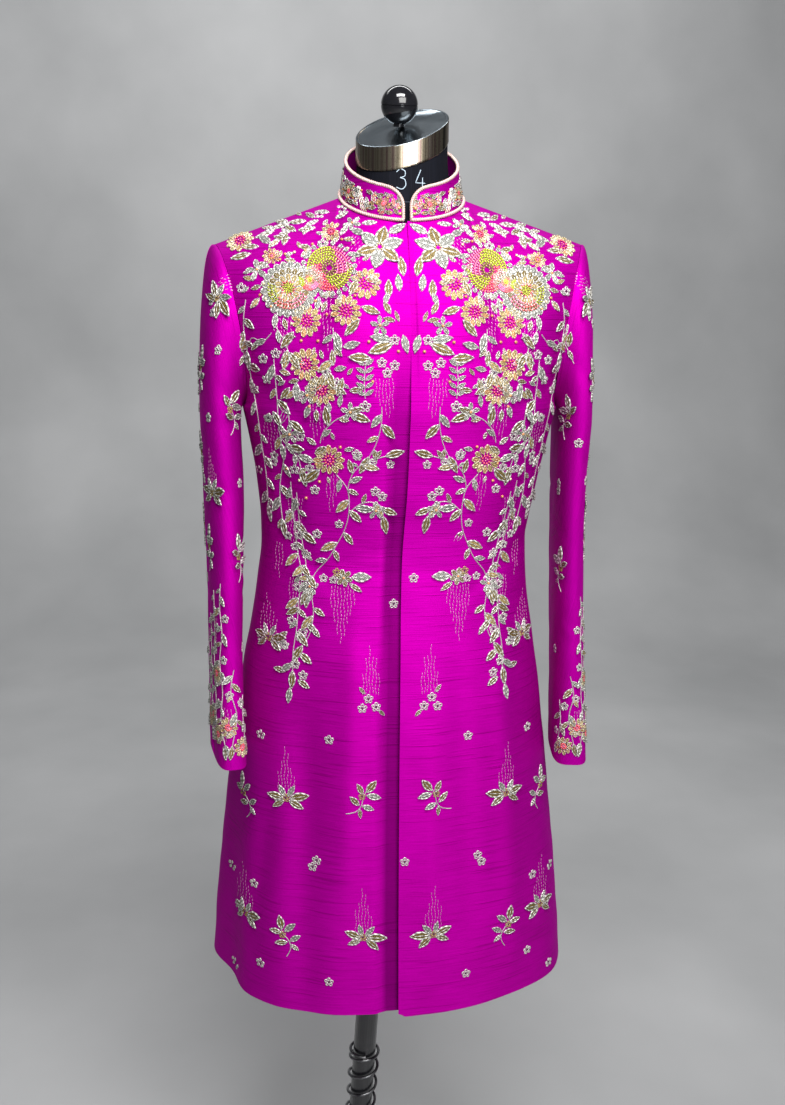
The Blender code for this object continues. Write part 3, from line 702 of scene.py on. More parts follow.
def back_grid():
    columns = [panel_column(1, 1, across, HEM_Z) for across in reversed(ACROSS)]
    columns += [panel_column(-1, 1, across, HEM_Z) for across in ACROSS[1:]]
    return rows_from_columns(columns)


def paint_edge_shadow(cloth):
    """Painted shadow on the strip of the under front beside the edge of the upper one: its colour is darkened
    as if that edge shaded it.
    """
    # The attribute called pressed holds this painted shadow, not a mark of pressing.
    layer = cloth.data.attributes.new("pressed", "FLOAT", "POINT")
    line = [row[UNDERLAP_COLUMNS] for row in grids["front_right"]]
    heights, places = [point.z for point in line], [COAT_X + point.x for point in line]
    values = []
    for vertex in cloth.data.vertices:
        away = float(np.interp(vertex.co.z, heights, places)) - vertex.co.x
        edge = 1 - smooth_step((away - 0.85 * EDGE_SHADOW_WIDTH) / (0.3 * EDGE_SHADOW_WIDTH))
        values.append(EDGE_SHADOW_STRENGTH * edge * smooth_step((EDGE_SHADOW_TOP_Z - vertex.co.z) / 0.30))
    layer.data.foreach_set("value", values)


# %% Make the three panels
grids = {"front_left": eased(front_on_top_grid()), "front_right": eased(front_below_grid()),
         "back": eased(back_grid())}
cloths = {}
for name, grid in grids.items():
    cloths[name] = wall_object(name + "_cloth", grid, moved_in(grid), silk)
# Painted shadow beside the upper front's edge, on the under front.
paint_edge_shadow(cloths["front_right"])

# %% [markdown]
# ## Sleeves
# A sleeve hangs from the armhole as one tube. Its head rises a little over the shoulder tip and then
# falls. Both sleeves turn their front edge towards the body, and the wearer's right one hangs further
# forward. The grid closes on itself, so its last column is the first one again.

# %% Sizes and rings of the sleeves
# By side: z, middle x, middle y, half thickness, half depth, twist, squareness
SLEEVES = {
    1: (
        (0.772, 0.2155, -0.040, 0.0212, 0.054, 8.0, 3.6),
        (0.820, 0.2150, -0.032, 0.0206, 0.060, 8.0, 3.0),
        (0.900, 0.2142, -0.018, 0.0192, 0.066, 8.0, 2.6),
        (1.000, 0.2128, -0.005, 0.0194, 0.071, 8.0, 2.3),
        (1.100, 0.2116, 0.002, 0.0192, 0.074, 7.0, 2.3),
        (1.185, 0.2125, 0.003, 0.0208, 0.075, 6.0, 2.3),
    ),
    -1: (
        (0.800, 0.2100, -0.085, 0.0172, 0.054, 12.0, 3.6),
        (0.850, 0.2115, -0.069, 0.0171, 0.060, 11.0, 3.0),
        (0.920, 0.2125, -0.046, 0.0177, 0.066, 10.0, 2.6),
        (1.000, 0.2120, -0.025, 0.0200, 0.071, 9.0, 2.3),
        (1.100, 0.2124, -0.004, 0.0232, 0.074, 8.0, 2.3),
        (1.185, 0.2140, 0.003, 0.0236, 0.075, 6.0, 2.3),
    ),
}
SLEEVE_HEAD = 0.004
SLEEVE_SIDES = 72
SLEEVE_ROWS = 100
SLEEVE_CAP_ROWS = 26
# turn round the sleeve from its outer side by the front, z, half height, half turn, depth
SLEEVE_CREASES = (
    (150.0, 1.055, 0.0060, 50.0, 0.0016),
    (135.0, 1.028, 0.0050, 42.0, 0.0013),
    (160.0, 0.995, 0.0060, 46.0, 0.0014),
    (60.0, 1.130, 0.0090, 40.0, 0.0010),
    (110.0, 0.930, 0.0070, 40.0, -0.0010),
    (80.0, 1.235, 0.0120, 44.0, 0.0012),
    (250.0, 1.040, 0.0070, 52.0, 0.0016),
    (230.0, 0.980, 0.0060, 44.0, 0.0012),
    (215.0, 1.090, 0.0080, 48.0, 0.0014),
    (300.0, 0.880, 0.0080, 44.0, -0.0010),
)


def sleeve_ring(side, z):
    mid_x, mid_y, thick, depth, twist, squareness = table_row(SLEEVES[side], z)
    power = 2.0 / squareness
    twisted = Matrix.Rotation(radians(-twist), 2)
    ring = []
    for step in range(SLEEVE_SIDES):
        turn = FULL_TURN * step / SLEEVE_SIDES
        out, back = twisted @ Vector((thick * signed_power(cos(turn), power),
                                      -depth * signed_power(sin(turn), power)))
        ring.append(Vector((side * (mid_x + out), mid_y + back, z)))
    return ring


def armhole_ring(side):
    ring = []
    for step in range(SLEEVE_SIDES):
        share = 2 * step / SLEEVE_SIDES
        point = armhole_point(side, -1, 1 - share) if share <= 1 else armhole_point(side, 1, share - 1)
        point.x += side * SEAM_GAP
        ring.append(point)
    return ring


def sleeve_grid(side):
    high, low = SLEEVES[side][-1][0], SLEEVES[side][0][0]
    top, below = armhole_ring(side), sleeve_ring(side, high)
    rows = []
    for r in range(SLEEVE_CAP_ROWS):
        bend = pi / 2 * r / SLEEVE_CAP_ROWS
        row = []
        for step, (a, b) in enumerate(zip(top, below)):
            flat = a.lerp(b, sin(bend))
            z = a.z + (b.z - a.z) * (1 - cos(bend))
            head = SLEEVE_HEAD * max(cos(FULL_TURN * step / SLEEVE_SIDES), 0.0) * sin(2 * bend)
            row.append(Vector((flat.x, flat.y, z + head)))
        rows.append(row)
    rows += [sleeve_ring(side, high + (low - high) * r / SLEEVE_ROWS) for r in range(SLEEVE_ROWS + 1)]
    return rows


def tube_normals(grid):
    """Each point's own outward direction, away from the middle of its row."""
    rows, columns = len(grid), len(grid[0])
    normals = []
    for r in range(rows):
        middle = sum(grid[r], Vector()) / columns
        row = []
        for c in range(columns):
            along = grid[min(r + 1, rows - 1)][c] - grid[max(r - 1, 0)][c]
            around = grid[r][(c + 1) % columns] - grid[r][c - 1]
            normal = along.cross(around).normalized()
            row.append(normal if normal.dot(grid[r][c] - middle) > 0 else -normal)
        normals.append(row)
    return normals


def sleeve_crease(side, turn, z):
    depth = 0.0
    for middle, at_z, half, half_turn, deep in SLEEVE_CREASES:
        middle = middle + (12.0 if side < 0 else 0.0)
        round_away = abs((turn - middle + 180.0) % 360.0 - 180.0) / half_turn
        height = at_z + 0.012 * side + 0.0004 * (turn - middle) * side
        if round_away < 1.0 and abs(z - height) < 3 * half:
            depth += deep * exp(-((z - height) / half) ** 2) * smooth_step(1 - round_away)
    return depth


def sleeve_wall(name, side):
    grid = sleeve_grid(side)
    normals = tube_normals(grid)
    last = len(grid) - 1
    outer, inner = [], []
    for r, (row, directions) in enumerate(zip(grid, normals)):
        calm = min(1.0, r / 6) * min(1.0, (last - r) / 4)
        shaped = []
        for c, (point, normal) in enumerate(zip(row, directions)):
            depth = sleeve_crease(side, 360.0 * c / SLEEVE_SIDES, point.z)
            depth += 0.7 * ripple(point.y * 2, point.z)
            shaped.append(point - normal * depth * calm)
        outer.append(shaped + shaped[:1])
        inside = [point - normal * CLOTH for point, normal in zip(shaped, directions)]
        inner.append(inside + inside[:1])
    grids[name] = outer
    return outer, inner


# %% Make the sleeves
for name, side in (("sleeve_left", 1), ("sleeve_right", -1)):
    outer, inner = sleeve_wall(name, side)
    cloths[name] = wall_object(name + "_cloth", outer, inner, silk, level_weft=False)

# %% [markdown]
# ## Collar
# The collar is a band that stands on the neck seam and leans in. Its two front corners are rounded and
# do not meet. A cord runs round all its edges: on the face along the foot and the front, and on the
# edge itself along the top.

# %% Sizes and points of the collar
COLLAR_TOP_HALF_WIDTH = 0.0652
COLLAR_TOP_FRONT = 0.0590
COLLAR_TOP_BACK = 0.0605
COLLAR_TOP_SIDE_Z = 1.4775
COLLAR_TOP_SLOPE = 0.56
COLLAR_OPENING = 0.0045
COLLAR_CORNER = 0.020
COLLAR_LIFT = 0.0004
CORD_RADIUS = 0.0013
CORD_GAP = 0.0004
CORNER_STEPS = 12
COLLAR_HALF_SIDES = 44
COLLAR_ROWS = 10


def collar_top_point(angle):
    turn = radians(angle)
    depth = COLLAR_TOP_FRONT if cos(turn) > 0 else COLLAR_TOP_BACK
    y = -depth * cos(turn)
    return Vector((COLLAR_TOP_HALF_WIDTH * sin(turn), y, COLLAR_TOP_SIDE_Z + COLLAR_TOP_SLOPE * y))


def collar_point(angle, up):
    foot = neck_point(angle) + Vector((0, 0, COLLAR_LIFT))
    return foot.lerp(collar_top_point(angle), up)


def collar_profile():
    """Places along the collar from its front edge to the middle back: angle and share of full height."""
    height = (collar_top_point(0) - neck_point(0)).length
    places = []
    for step in range(CORNER_STEPS + 1):
        turn = pi / 2 * step / CORNER_STEPS
        away = COLLAR_OPENING + COLLAR_CORNER * (1 - cos(turn))
        share = 1 - COLLAR_CORNER * (1 - sin(turn)) / height
        places.append((degrees(asin(away / NECK_HALF_WIDTH)), share))
    first = places[-1][0]
    places += [(first + (180 - first) * step / COLLAR_HALF_SIDES, 1.0)
               for step in range(1, COLLAR_HALF_SIDES + 1)]
    return places


def collar_inward(point):
    level = Vector((point.x / NECK_HALF_WIDTH ** 2, point.y / NECK_FRONT ** 2, 0)).normalized()
    return Vector((-level.x, -level.y, -NECK_SLOPE * level.y))


def collar_grid():
    profile = collar_profile()
    around = profile + [(360 - angle, share) for angle, share in reversed(profile[:-1])]
    return [[collar_point(angle, share * r / COLLAR_ROWS) for angle, share in around]
            for r in range(COLLAR_ROWS + 1)]


def cord_path():
    off = CORD_RADIUS + CORD_GAP
    profile = collar_profile()
    foot = []
    for angle, _ in profile[:1] + profile[4:]:
        point = collar_point(angle, 0)
        foot.append(point - collar_inward(point) * off + Vector((0, 0, CORD_RADIUS)))
    top = []
    for index, (angle, share) in enumerate(profile):
        turn = pi / 2 * min(index / CORNER_STEPS, 1.0)
        point = collar_point(angle, share)
        inward = collar_inward(point)
        along_face = Vector((-cos(turn), 0, sin(turn))) * sin(turn)
        sunk = CLOTH / 2 if index > CORNER_STEPS else 0.0
        top.append(point + (along_face - inward * cos(turn)) * off + inward * sunk)
    half = foot[::-1] + [foot[0].lerp(top[0], share) for share in (0.25, 0.5, 0.75)] + top
    return half + [Vector((-point.x, point.y, point.z)) for point in half[-2:0:-1]]


# %% Make the collar
grids["collar"] = collar_grid()
inner = [[point + collar_inward(point) * CLOTH for point in row] for row in grids["collar"]]
cloths["collar"] = wall_object("collar_cloth", grids["collar"], inner, silk)

# %% [markdown]
# ## Geometry Nodes for thread, cord and wire
# Everything that follows a path is made by one small tree: it takes lines as input, turns them into
# curves and gives them a round profile. Its radius, its number of sides and its material are named
# inputs. A second tree sets one small motif on every point of a cloud, turned and sized by the points'
# own attributes. Both end with real mesh, because instances would be lost in the export.

# %% The two trees


def start_tree(name, *inputs):
    """A tree with its named inputs, and the outputs of its first node."""
    tree = bpy.data.node_groups.new(name, "GeometryNodeTree")
    add_socket(tree, "Geometry", "Geometry")
    for label, kind, value in inputs:
        add_socket(tree, label, kind, value)
    add_socket(tree, "Finish", "Material")
    add_socket(tree, "Geometry", "Geometry", way="OUTPUT")
    return tree, add_node(tree, "NodeGroupInput").outputs


def end_tree(tree, entry, geometry):
    real = add_node(tree, "GeometryNodeRealizeInstances", {0: geometry})
    finish = add_node(tree, "GeometryNodeSetMaterial", {"Geometry": real, "Material": entry["Finish"]})
    add_node(tree, "NodeGroupOutput", {"Geometry": finish})
    return tree


def thread_tree():
    tree, entry = start_tree("thread on a path", ("Radius", "Float", 0.001), ("Sides", "Int", 6))
    curve = add_node(tree, "GeometryNodeMeshToCurve", {"Mesh": entry["Geometry"]})
    ring = add_node(tree, "GeometryNodeCurvePrimitiveCircle", {
        "Radius": entry["Radius"], "Resolution": entry["Sides"]})
    sweep = add_node(tree, "GeometryNodeCurveToMesh", {
        "Curve": curve, "Profile Curve": ring, "Fill Caps": True})
    return end_tree(tree, entry, add_node(tree, "GeometryNodeSetShadeSmooth", {"Geometry": sweep}))


def strew_tree():
    tree, entry = start_tree("motifs on points", ("Motif", "Object", None), ("Growth", "Float", 1.0))
    motif = add_node(tree, "GeometryNodeObjectInfo", {"Object": entry["Motif"]})
    turn, size = [add_node(tree, "GeometryNodeInputNamedAttribute", {"Name": name},
                           data_type="FLOAT_VECTOR").outputs["Attribute"] for name in ("turn", "size")]
    copies = add_node(tree, "GeometryNodeInstanceOnPoints", {
        "Points": entry["Geometry"], "Instance": motif.outputs["Geometry"],
        "Rotation": add_node(tree, "FunctionNodeEulerToRotation", {"Euler": turn}),
        "Scale": scaled(tree, size, entry["Growth"])})
    return end_tree(tree, entry, copies)


trees = {"thread": thread_tree(), "strew": strew_tree()}


def grown(name, mesh, tree, values):
    """The mesh after a tree has worked on it, as a plain object with nothing live on it."""
    start = add_object(name + "_points", mesh)
    modifier = start.modifiers.new("nodes", "NODES")
    modifier.node_group = tree
    sockets = {item.name: item.identifier for item in tree.interface.items_tree if item.in_out == "INPUT"}
    for socket, value in values.items():
        modifier[sockets[socket]] = value
    made = bpy.data.meshes.new_from_object(start.evaluated_get(bpy.context.evaluated_depsgraph_get()))
    made.name = name
    bpy.data.objects.remove(start, do_unlink=True)
    made.calc_loop_triangles()
    print(name, len(made.loop_triangles), "triangles")
    return add_object(name, made)


def line_mesh(name, lines, tints=None):
    """Open lines, or closed ones where the last point is the first again, as edges with a tint."""
    verts, edges, colors = [], [], []
    for index, line in enumerate(lines):
        closed = len(line) > 2 and (line[0] - line[-1]).length < 1e-7
        points = line[:-1] if closed else line
        start = len(verts)
        verts += points
        edges += [(start + i, start + i + 1) for i in range(len(points) - 1)]
        if closed:
            edges.append((start + len(points) - 1, start))
        if tints:
            colors += [(*tints[index], 1.0)] * len(points)
    mesh = new_mesh(name, verts, (), edges)
    if tints:
        layer = mesh.attributes.new("tint", "FLOAT_COLOR", "POINT")
        layer.data.foreach_set("color", np.array(colors).ravel())
    return mesh


# %% [markdown]
# ## The collar's cord
# Seen close, the pale edge is two strands laid round each other. Each strand is a helix about the cord's
# path, half a turn apart from the other, and the thread tree gives it its thickness.

# %% Two strands round the collar's edge
STRAND_RADIUS = 0.00125
STRAND_OFFSET = 0.00085
STRAND_PITCH = 0.0052
STRAND_STEP = 0.00062


def even_path(points, step):
    """The closed path again, with points at an even distance."""
    loop = points + points[:1]
    runs = [0.0]
    for a, b in zip(loop, loop[1:]):
        runs.append(runs[-1] + (b - a).length)
    count = int(runs[-1] / step)
    path, index = [], 0
    for i in range(count):
        want = runs[-1] * i / count
        while runs[index + 1] < want:
            index += 1
        path.append(loop[index].lerp(loop[index + 1], (want - runs[index]) / (runs[index + 1] - runs[index])))
    return path, runs[-1]


def twisted_strands(points):
    path, length = even_path(points, STRAND_STEP)
    count = len(path)
    turns = round(length / STRAND_PITCH)
    strands = [[], []]
    for i, point in enumerate(path):
        along = (path[(i + 1) % count] - path[i - 1]).normalized()
        side = along.cross(Vector((0.0, 0.0, 1.0)) + Vector((point.x, point.y, 0)) * 4).normalized()
        other = along.cross(side)
        for strand, start in zip(strands, (0.0, pi)):
            angle = start + FULL_TURN * turns * i / count
            strand.append(point + (side * cos(angle) + other * sin(angle)) * STRAND_OFFSET)
    return [strand + strand[:1] for strand in strands]


def cord_material(color=(0.86, 0.62, 0.56)):
    """Pale thread with fine coils in its colour and its relief."""
    material, tree, shader = new_material("pale_cord", {
        "Metallic": 0.15, "Roughness": 0.42, "Base Color": (*color, 1.0)})
    coils = noise(tree, object_place(tree), 1500.0, 2.0, 0.7)
    feed(tree, shader, {"Base Color": scaled(tree, color, spread(tree, coils, 0.45, 1.25, 0.3, 0.7)),
                        "Normal": relief(tree, coils, 0.7, 0.0004)})
    return material


strands = [[point + shift for point in strand] for strand in twisted_strands(cord_path())]
piping = grown("collar_cord", line_mesh("collar_cord", strands), trees["thread"],
               {"Radius": STRAND_RADIUS, "Sides": 6, "Finish": cord_material()})

# %% [markdown]
# All the needlework is set from a few small shapes: a leaf and a petal, each as a coiled rim and a
# stitched filling, a ring, a bead and a long stitch. A ground tells where a place on a panel lies in
# space, which way is up there and which way leads away from the front edge, so that one layout serves
# both fronts and comes out mirrored. Elements are only collected here; the trees make them later.

# %% Grounds on the panels


def between(keys, key):
    """The fractional place of a key in a rising list."""
    index = min(max(int(np.searchsorted(keys, key)) - 1, 0), len(keys) - 2)
    span = keys[index + 1] - keys[index]
    return index + min(max((key - keys[index]) / max(span, 1e-9), 0.0), 1.0)


class Ground:
    """A grid of points with one measure across it and one up it."""

    def __init__(self, points, across, up, handed):
        self.points = np.array([[tuple(point) for point in row] for row in points])
        self.across = np.array(across)
        self.up = np.array(up)
        self.handed = handed

    def spot(self, a, b):
        """The point at these two measures, with the directions across, up and out of the cloth there."""
        column = self.across.shape[1] / 2
        for _ in range(3):
            c, g = int(column), column - int(column)
            row = between(self.up[:, c] * (1 - g) + self.up[:, min(c + 1, self.up.shape[1] - 1)] * g, b)
            r, f = int(row), row - int(row)
            column = between(self.across[r] * (1 - f) + self.across[min(r + 1, len(self.across) - 1)] * f, a)
        r, c = min(int(row), len(self.across) - 2), min(int(column), self.across.shape[1] - 2)
        f, g = row - r, column - c
        low = self.points[r, c] * (1 - g) + self.points[r, c + 1] * g
        high = self.points[r + 1, c] * (1 - g) + self.points[r + 1, c + 1] * g
        side = self.points[r, c + 1] - self.points[r, c]
        point = Vector(low * (1 - f) + high * f) + shift
        right = Vector(side).normalized()
        above = Vector(high - low)
        above = (above - right * above.dot(right)).normalized()
        return point, right, above, right.cross(above) * self.handed


def body_ground(grid, side, face):
    points = grid if side == 1 else [row[::-1] for row in grid]
    if face > 0:
        points = [row[::-1] for row in points]
    return Ground(points, [[side * (point.x - row[0].x) for point in row] for row in points],
                  [[point.z for point in row] for row in points], -side * face)


def half_back(side):
    middle = len(grids["back"][0]) // 2
    part = slice(0, middle + 1) if side == 1 else slice(middle, None)
    return body_ground([row[part] for row in grids["back"]], side, 1)


def front_below_ground():
    grid = grids["front_right"]
    return Ground(grid, [[row[UNDERLAP_COLUMNS].x - point.x for point in row] for row in grid],
                  [[point.z for point in row] for row in grid], -1)


def sleeve_ground(side):
    """Across is the way round from the sleeve's front towards its outer side."""
    quarter = SLEEVE_SIDES // 4
    order = [c % SLEEVE_SIDES for c in range(3 * quarter, -quarter - 1, -1)]
    name = "sleeve_left" if side == 1 else "sleeve_right"
    grid = [[row[c] for c in order] for row in grids[name][::-1]]
    across, _ = grid_lengths(grid)
    front = 2 * quarter
    return Ground(grid, [[run - row[front] for run in row] for row in across],
                  [[point.z for point in row] for row in grid], side)


def collar_ground(side):
    middle = len(grids["collar"][0]) // 2
    part = [row[:middle + 1] if side == 1 else row[middle:][::-1] for row in grids["collar"]]
    across, up = grid_lengths(part)
    return Ground(part, across, up, side)


def sides_of(make):
    return [make(1), make(-1)]


fronts = [body_ground(grids["front_left"], 1, -1), front_below_ground()]
backs = sides_of(half_back)
sleeves = sides_of(sleeve_ground)
collars = sides_of(collar_ground)

# %% Colours of thread and bead, and one element of needlework
SILVER = (0.74, 0.72, 0.68)
ANTIQUE = (0.24, 0.165, 0.045)
OLD_SILVER = (0.30, 0.30, 0.27)
PALE_GOLD = (0.52, 0.37, 0.13)
CREAM = (0.80, 0.68, 0.44)
PEACH = (0.66, 0.30, 0.12)
CORAL = (0.78, 0.12, 0.14)
LIME = (0.40, 0.45, 0.03)
ROSE = (0.72, 0.16, 0.30)
PINK_SILVER = (0.56, 0.20, 0.42)
DARK = (0.05, 0.03, 0.05)
RIM_HEIGHT = 0.0016
STITCH_RISE = 0.0003       # how far a thin thread lies above the cloth
marks = {kind: [] for kind in ("leaf_rim", "leaf_fill", "petal_rim", "petal_fill", "ring", "bead", "stitch")}
stems = {"lines": [], "tints": []}


def mark(kind, ground, a, b, angle, size, tint, lift=0.0):
    """One element: its x axis points along the angle, 0 away from the front edge and 90 up."""
    point, right, above, normal = ground.spot(a, b)
    turn = radians(angle)
    along = right * cos(turn) + above * sin(turn)
    basis = Matrix((along, normal.cross(along), normal)).transposed()
    marks[kind].append((point + normal * lift, basis.to_euler(), size, tint))


def blade(shape, ground, a, b, angle, length, width, rim, fill, lift=0.0):
    """A filling and the coiled rim round it; the width is a share of the length."""
    for part, tint in (("_fill", fill), ("_rim", rim)):
        mark(shape + part, ground, a, b, angle, (length, length * width, RIM_HEIGHT), tint, lift)


def leaf(ground, a, b, angle, length, width=0.42, fill=ANTIQUE):
    blade("leaf", ground, a, b, angle, length, width, SILVER, fill)


def petal(*values):
    blade("petal", *values)


def bead(ground, a, b, radius, tint, lift=0.0004):
    mark("bead", ground, a, b, 0.0, (radius, radius, radius * 0.8), tint, lift)


def stitch(ground, a, b, angle, length, tint, lift, width):
    mark("stitch", ground, a, b, angle, (length, width, width * 0.7), tint, lift)


def stem(ground, places, tint=SILVER):
    """A thin couched cord on a smooth curve through its places."""
    ends = [places[0]] + list(places) + [places[-1]]
    line = []
    for p0, p1, p2, p3 in zip(ends, ends[1:], ends[2:], ends[3:]):
        steps = max(2, int(hypot(p2[0] - p1[0], p2[1] - p1[1]) / 0.004))
        for step in range(steps):
            line.append(curve_between(p0, p1, p2, p3, step / steps))
    line.append(tuple(places[-1]))
    points = []
    for a, b in line:
        point, _, _, normal = ground.spot(a, b)
        points.append(point + normal * STITCH_RISE)
    stems["lines"].append(points)
    stems["tints"].append(tint)
    return line


def curve_between(p0, p1, p2, p3, share):
    """A point on the smooth curve from p1 to p2."""
    square, cube = share ** 2, share ** 3
    return tuple(0.5 * (2 * q1 + (q2 - q0) * share + (2 * q0 - 5 * q1 + 4 * q2 - q3) * square
                        + (3 * q1 - q0 - 3 * q2 + q3) * cube) for q0, q1, q2, q3 in zip(p0, p1, p2, p3))


# %% Flowers
ROSETTE = 0.0058


def off(a, b, angle, reach):
    """The place that lies some way off in a direction, given in degrees."""
    turn = radians(angle)
    return a + reach * cos(turn), b + reach * sin(turn)


def turns(count, start=0.0):
    """Numbers and directions of things set evenly round a middle."""
    return [(k, start + 360.0 * k / count) for k in range(count)]


def rosette(ground, a, b, radius=ROSETTE, tint=SILVER):
    for _, angle in turns(5, 90.0):
        mark("ring", ground, *off(a, b, angle, 0.62 * radius), 0.0, (0.40 * radius, 0.40 * radius, 0.0012),
             tint)
    bead(ground, a, b, 0.22 * radius, DARK)


def daisy(ground, a, b, radius, petals=12, start=0.0, fill=PALE_GOLD, heart=CORAL):
    for k, angle in turns(petals, start):
        reach = radius * (0.66 + 0.06 * sin(5 * k + 9000 * a))
        petal(ground, *off(a, b, angle, 0.34 * radius), angle, reach, 0.58, CREAM, fill if k % 3 else PEACH)
    for _, angle in turns(9):
        bead(ground, *off(a, b, angle, 0.27 * radius), 0.0013, heart, 0.0008)
    for _, angle in turns(3):
        bead(ground, *off(a, b, angle, 0.09 * radius), 0.0012, ROSE, 0.0009)


def star(ground, a, b, radius):
    for k, angle in turns(6, 90.0):
        leaf(ground, *off(a, b, angle, 0.08 * radius), angle, radius * 0.94, 0.62,
             OLD_SILVER if k % 2 else ANTIQUE)
    for _, angle in turns(6):
        bead(ground, *off(a, b, angle, 0.12 * radius), 0.0012, PALE_GOLD, 0.0012)


def blossom(ground, a, b, radius):
    """A large round flower: arcs of slanting stitches in changing colours inside a scalloped edge."""
    rows = max(4, int(radius / 0.0031))
    for row in range(rows):
        reach = radius * (0.16 + 0.80 * row / rows)
        slant = 90.0 + (38.0 if row % 2 else -38.0)
        for _, angle in turns(int(FULL_TURN * reach / 0.0030)):
            zone = (angle + 9.0 * row) % 360.0
            tint = ANTIQUE if row < 2 else LIME if 50 < zone < 160 or 240 < zone < 310 else \
                CORAL if zone < 50 or zone > 310 else ROSE
            stitch(ground, *off(a, b, angle, reach), angle + slant, 0.0048, tint, 0.0006, 0.0019)
    for _, angle in turns(int(FULL_TURN * radius / 0.0066)):
        petal(ground, *off(a, b, angle, 0.92 * radius), angle, 0.0066, 0.9, SILVER, OLD_SILVER)


def layered_flower(ground, a, b, radius):
    """A full flower of overlapping petals, silver outside and coloured towards its heart."""
    for row, (share, count, length) in enumerate(((0.62, 22, 0.42), (0.40, 17, 0.40), (0.18, 11, 0.38))):
        for _, angle in turns(count, 180.0 * row / count):
            petal(ground, *off(a, b, angle, share * radius), angle, length * radius, 0.74, SILVER,
                  (OLD_SILVER, ANTIQUE, PALE_GOLD)[row], 0.0007 * row)
    for k in range(40):
        angle = degrees(2.4 * k)
        stitch(ground, *off(a, b, angle, 0.26 * radius * sqrt(k / 40)), angle, 0.0038,
               LIME if k < 24 else CORAL, 0.0022, 0.0014)
    for k in range(60):
        angle = 200 + 2.9 * k
        stitch(ground, *off(a, b, angle, radius * (0.46 + 0.12 * (k % 3))), angle + 60, 0.0040,
               (ROSE, CORAL, LIME)[k // 20], 0.0021, 0.0014)


def foliage(ground, a, b, inner, outer, count, length=0.0145):
    """Leaves strewn between two rings about a place, each pointing away from it."""
    for k in range(count):
        angle = 137.5 * k + 20 * sin(3.1 * k)
        reach = sqrt(inner ** 2 + (outer ** 2 - inner ** 2) * (k + 0.5) / count)
        turn = radians(angle)
        size = length * (0.86 + 0.28 * sin(2.7 * k))
        leaf(ground, a + reach * cos(turn), b + 0.82 * reach * sin(turn),
             angle + 34 * sin(1.9 * k), size, 0.46, (ANTIQUE, OLD_SILVER, PALE_GOLD)[k % 3])


# %% Strings, vines and small motifs
STRING_PITCH = 0.0043
BUGLE = (0.0036, 0.00066)  # length and width of a long thin bead


def scatter(ground, motif, places, *values):
    """The same motif at every place of a table in millimetres."""
    for a, b in places:
        motif(ground, a * MM, b * MM, *values)


def strings(ground, a, b, lengths, up=False):
    """Level row of threads with long beads, hanging down from b, or standing up on it."""
    for k, length in enumerate(lengths):
        place = a + (k - (len(lengths) - 1) / 2) * STRING_PITCH * 0.86
        start = b + 0.0012 * sin(5 * k + 700 * a)
        for bugle in range(int(length * MM / STRING_PITCH)):
            reach = (bugle + 0.5) * STRING_PITCH
            sway = 0.0007 * sin(1.3 * bugle + 5 * k + 300 * b)
            stitch(ground, place + sway, start + (reach if up else -reach), 90.0, BUGLE[0], PINK_SILVER,
                   0.0002, BUGLE[1])


def vine(ground, places, length=21.0, every=13.0, buds=5):
    """A stem with leaves by turns on each side; the places and lengths are in millimetres."""
    line = stem(ground, [(a * MM, b * MM) for a, b in places])
    run, due, count = 0.0, 0.35 * every * MM, 0
    for (a0, b0), (a1, b1) in zip(line, line[1:]):
        run += hypot(a1 - a0, b1 - b0)
        if run < due:
            continue
        due += every * MM
        count += 1
        heading = degrees(atan2(b1 - b0, a1 - a0))
        side = 1 if count % 2 else -1
        sway = 9 * sin(3.7 * count + 60 * a1)
        size = length * MM * (0.86 + 0.26 * sin(2.3 * count + 40 * b1))
        if count % buds == 0:
            rosette(ground, *off(a1, b1, heading + side * 60, 0.3 * size + ROSETTE), 0.0052)
        else:
            leaf(ground, a1, b1, heading + side * (46 + sway), size, 0.44,
                 (ANTIQUE, OLD_SILVER, ANTIQUE, PALE_GOLD)[count % 4])
    heading = degrees(atan2(line[-1][1] - line[-2][1], line[-1][0] - line[-2][0]))
    leaf(ground, *line[-1], heading, length * MM * 1.1, 0.42)


def fern(ground, a, top, foot):
    stem(ground, [(a, top), (a + 0.002, (top + foot) / 2), (a + 0.001, foot)])
    for k in range(5):
        b = foot + (top - foot) * (k + 0.4) / 5
        for side in (-1, 1):
            leaf(ground, a + 0.001, b, 90 - side * 58, 0.0115, 0.42, OLD_SILVER)
    rosette(ground, a + 0.001, foot - 0.009, 0.0066)


# Along and beside the stem, turn, length, width, filling
SPRIG_LEAVES = (
    (0.12, 0.02, 12, 0.46, 0.52, ANTIQUE), (0.06, 0.05, 76, 0.44, 0.46, OLD_SILVER),
    (0.04, -0.03, -56, 0.38, 0.46, ANTIQUE), (-0.26, 0.08, 84, 0.38, 0.46, OLD_SILVER),
    (-0.28, 0.02, -72, 0.40, 0.44, ANTIQUE), (-0.36, 0.06, 146, 0.30, 0.42, ANTIQUE),
)


def sprig(ground, a, b, angle, length=0.042):
    """Two groups of leaves on a bent stem, the upper one with a small flower, and a curved tail."""
    turn = radians(angle)
    ahead = (cos(turn), sin(turn))

    def place(along, side):
        return (a + length * (along * ahead[0] - side * ahead[1]),
                b + length * (along * ahead[1] + side * ahead[0]))

    bends = ((0.22, 0.0), (0.0, 0.0), (-0.28, 0.07), (-0.5, 0.0), (-0.66, -0.2))
    stem(ground, [place(*bend) for bend in bends])
    for along, side, turned, share, width, fill in SPRIG_LEAVES[:3]:
        leaf(ground, *place(along, side), angle + turned, share * length, width, fill)
    rosette(ground, *place(-0.02, -0.04), 0.0046, PALE_GOLD)
    for along, side, turned, share, width, fill in SPRIG_LEAVES[3:]:
        leaf(ground, *place(along, side), angle + turned, share * length, width, fill)


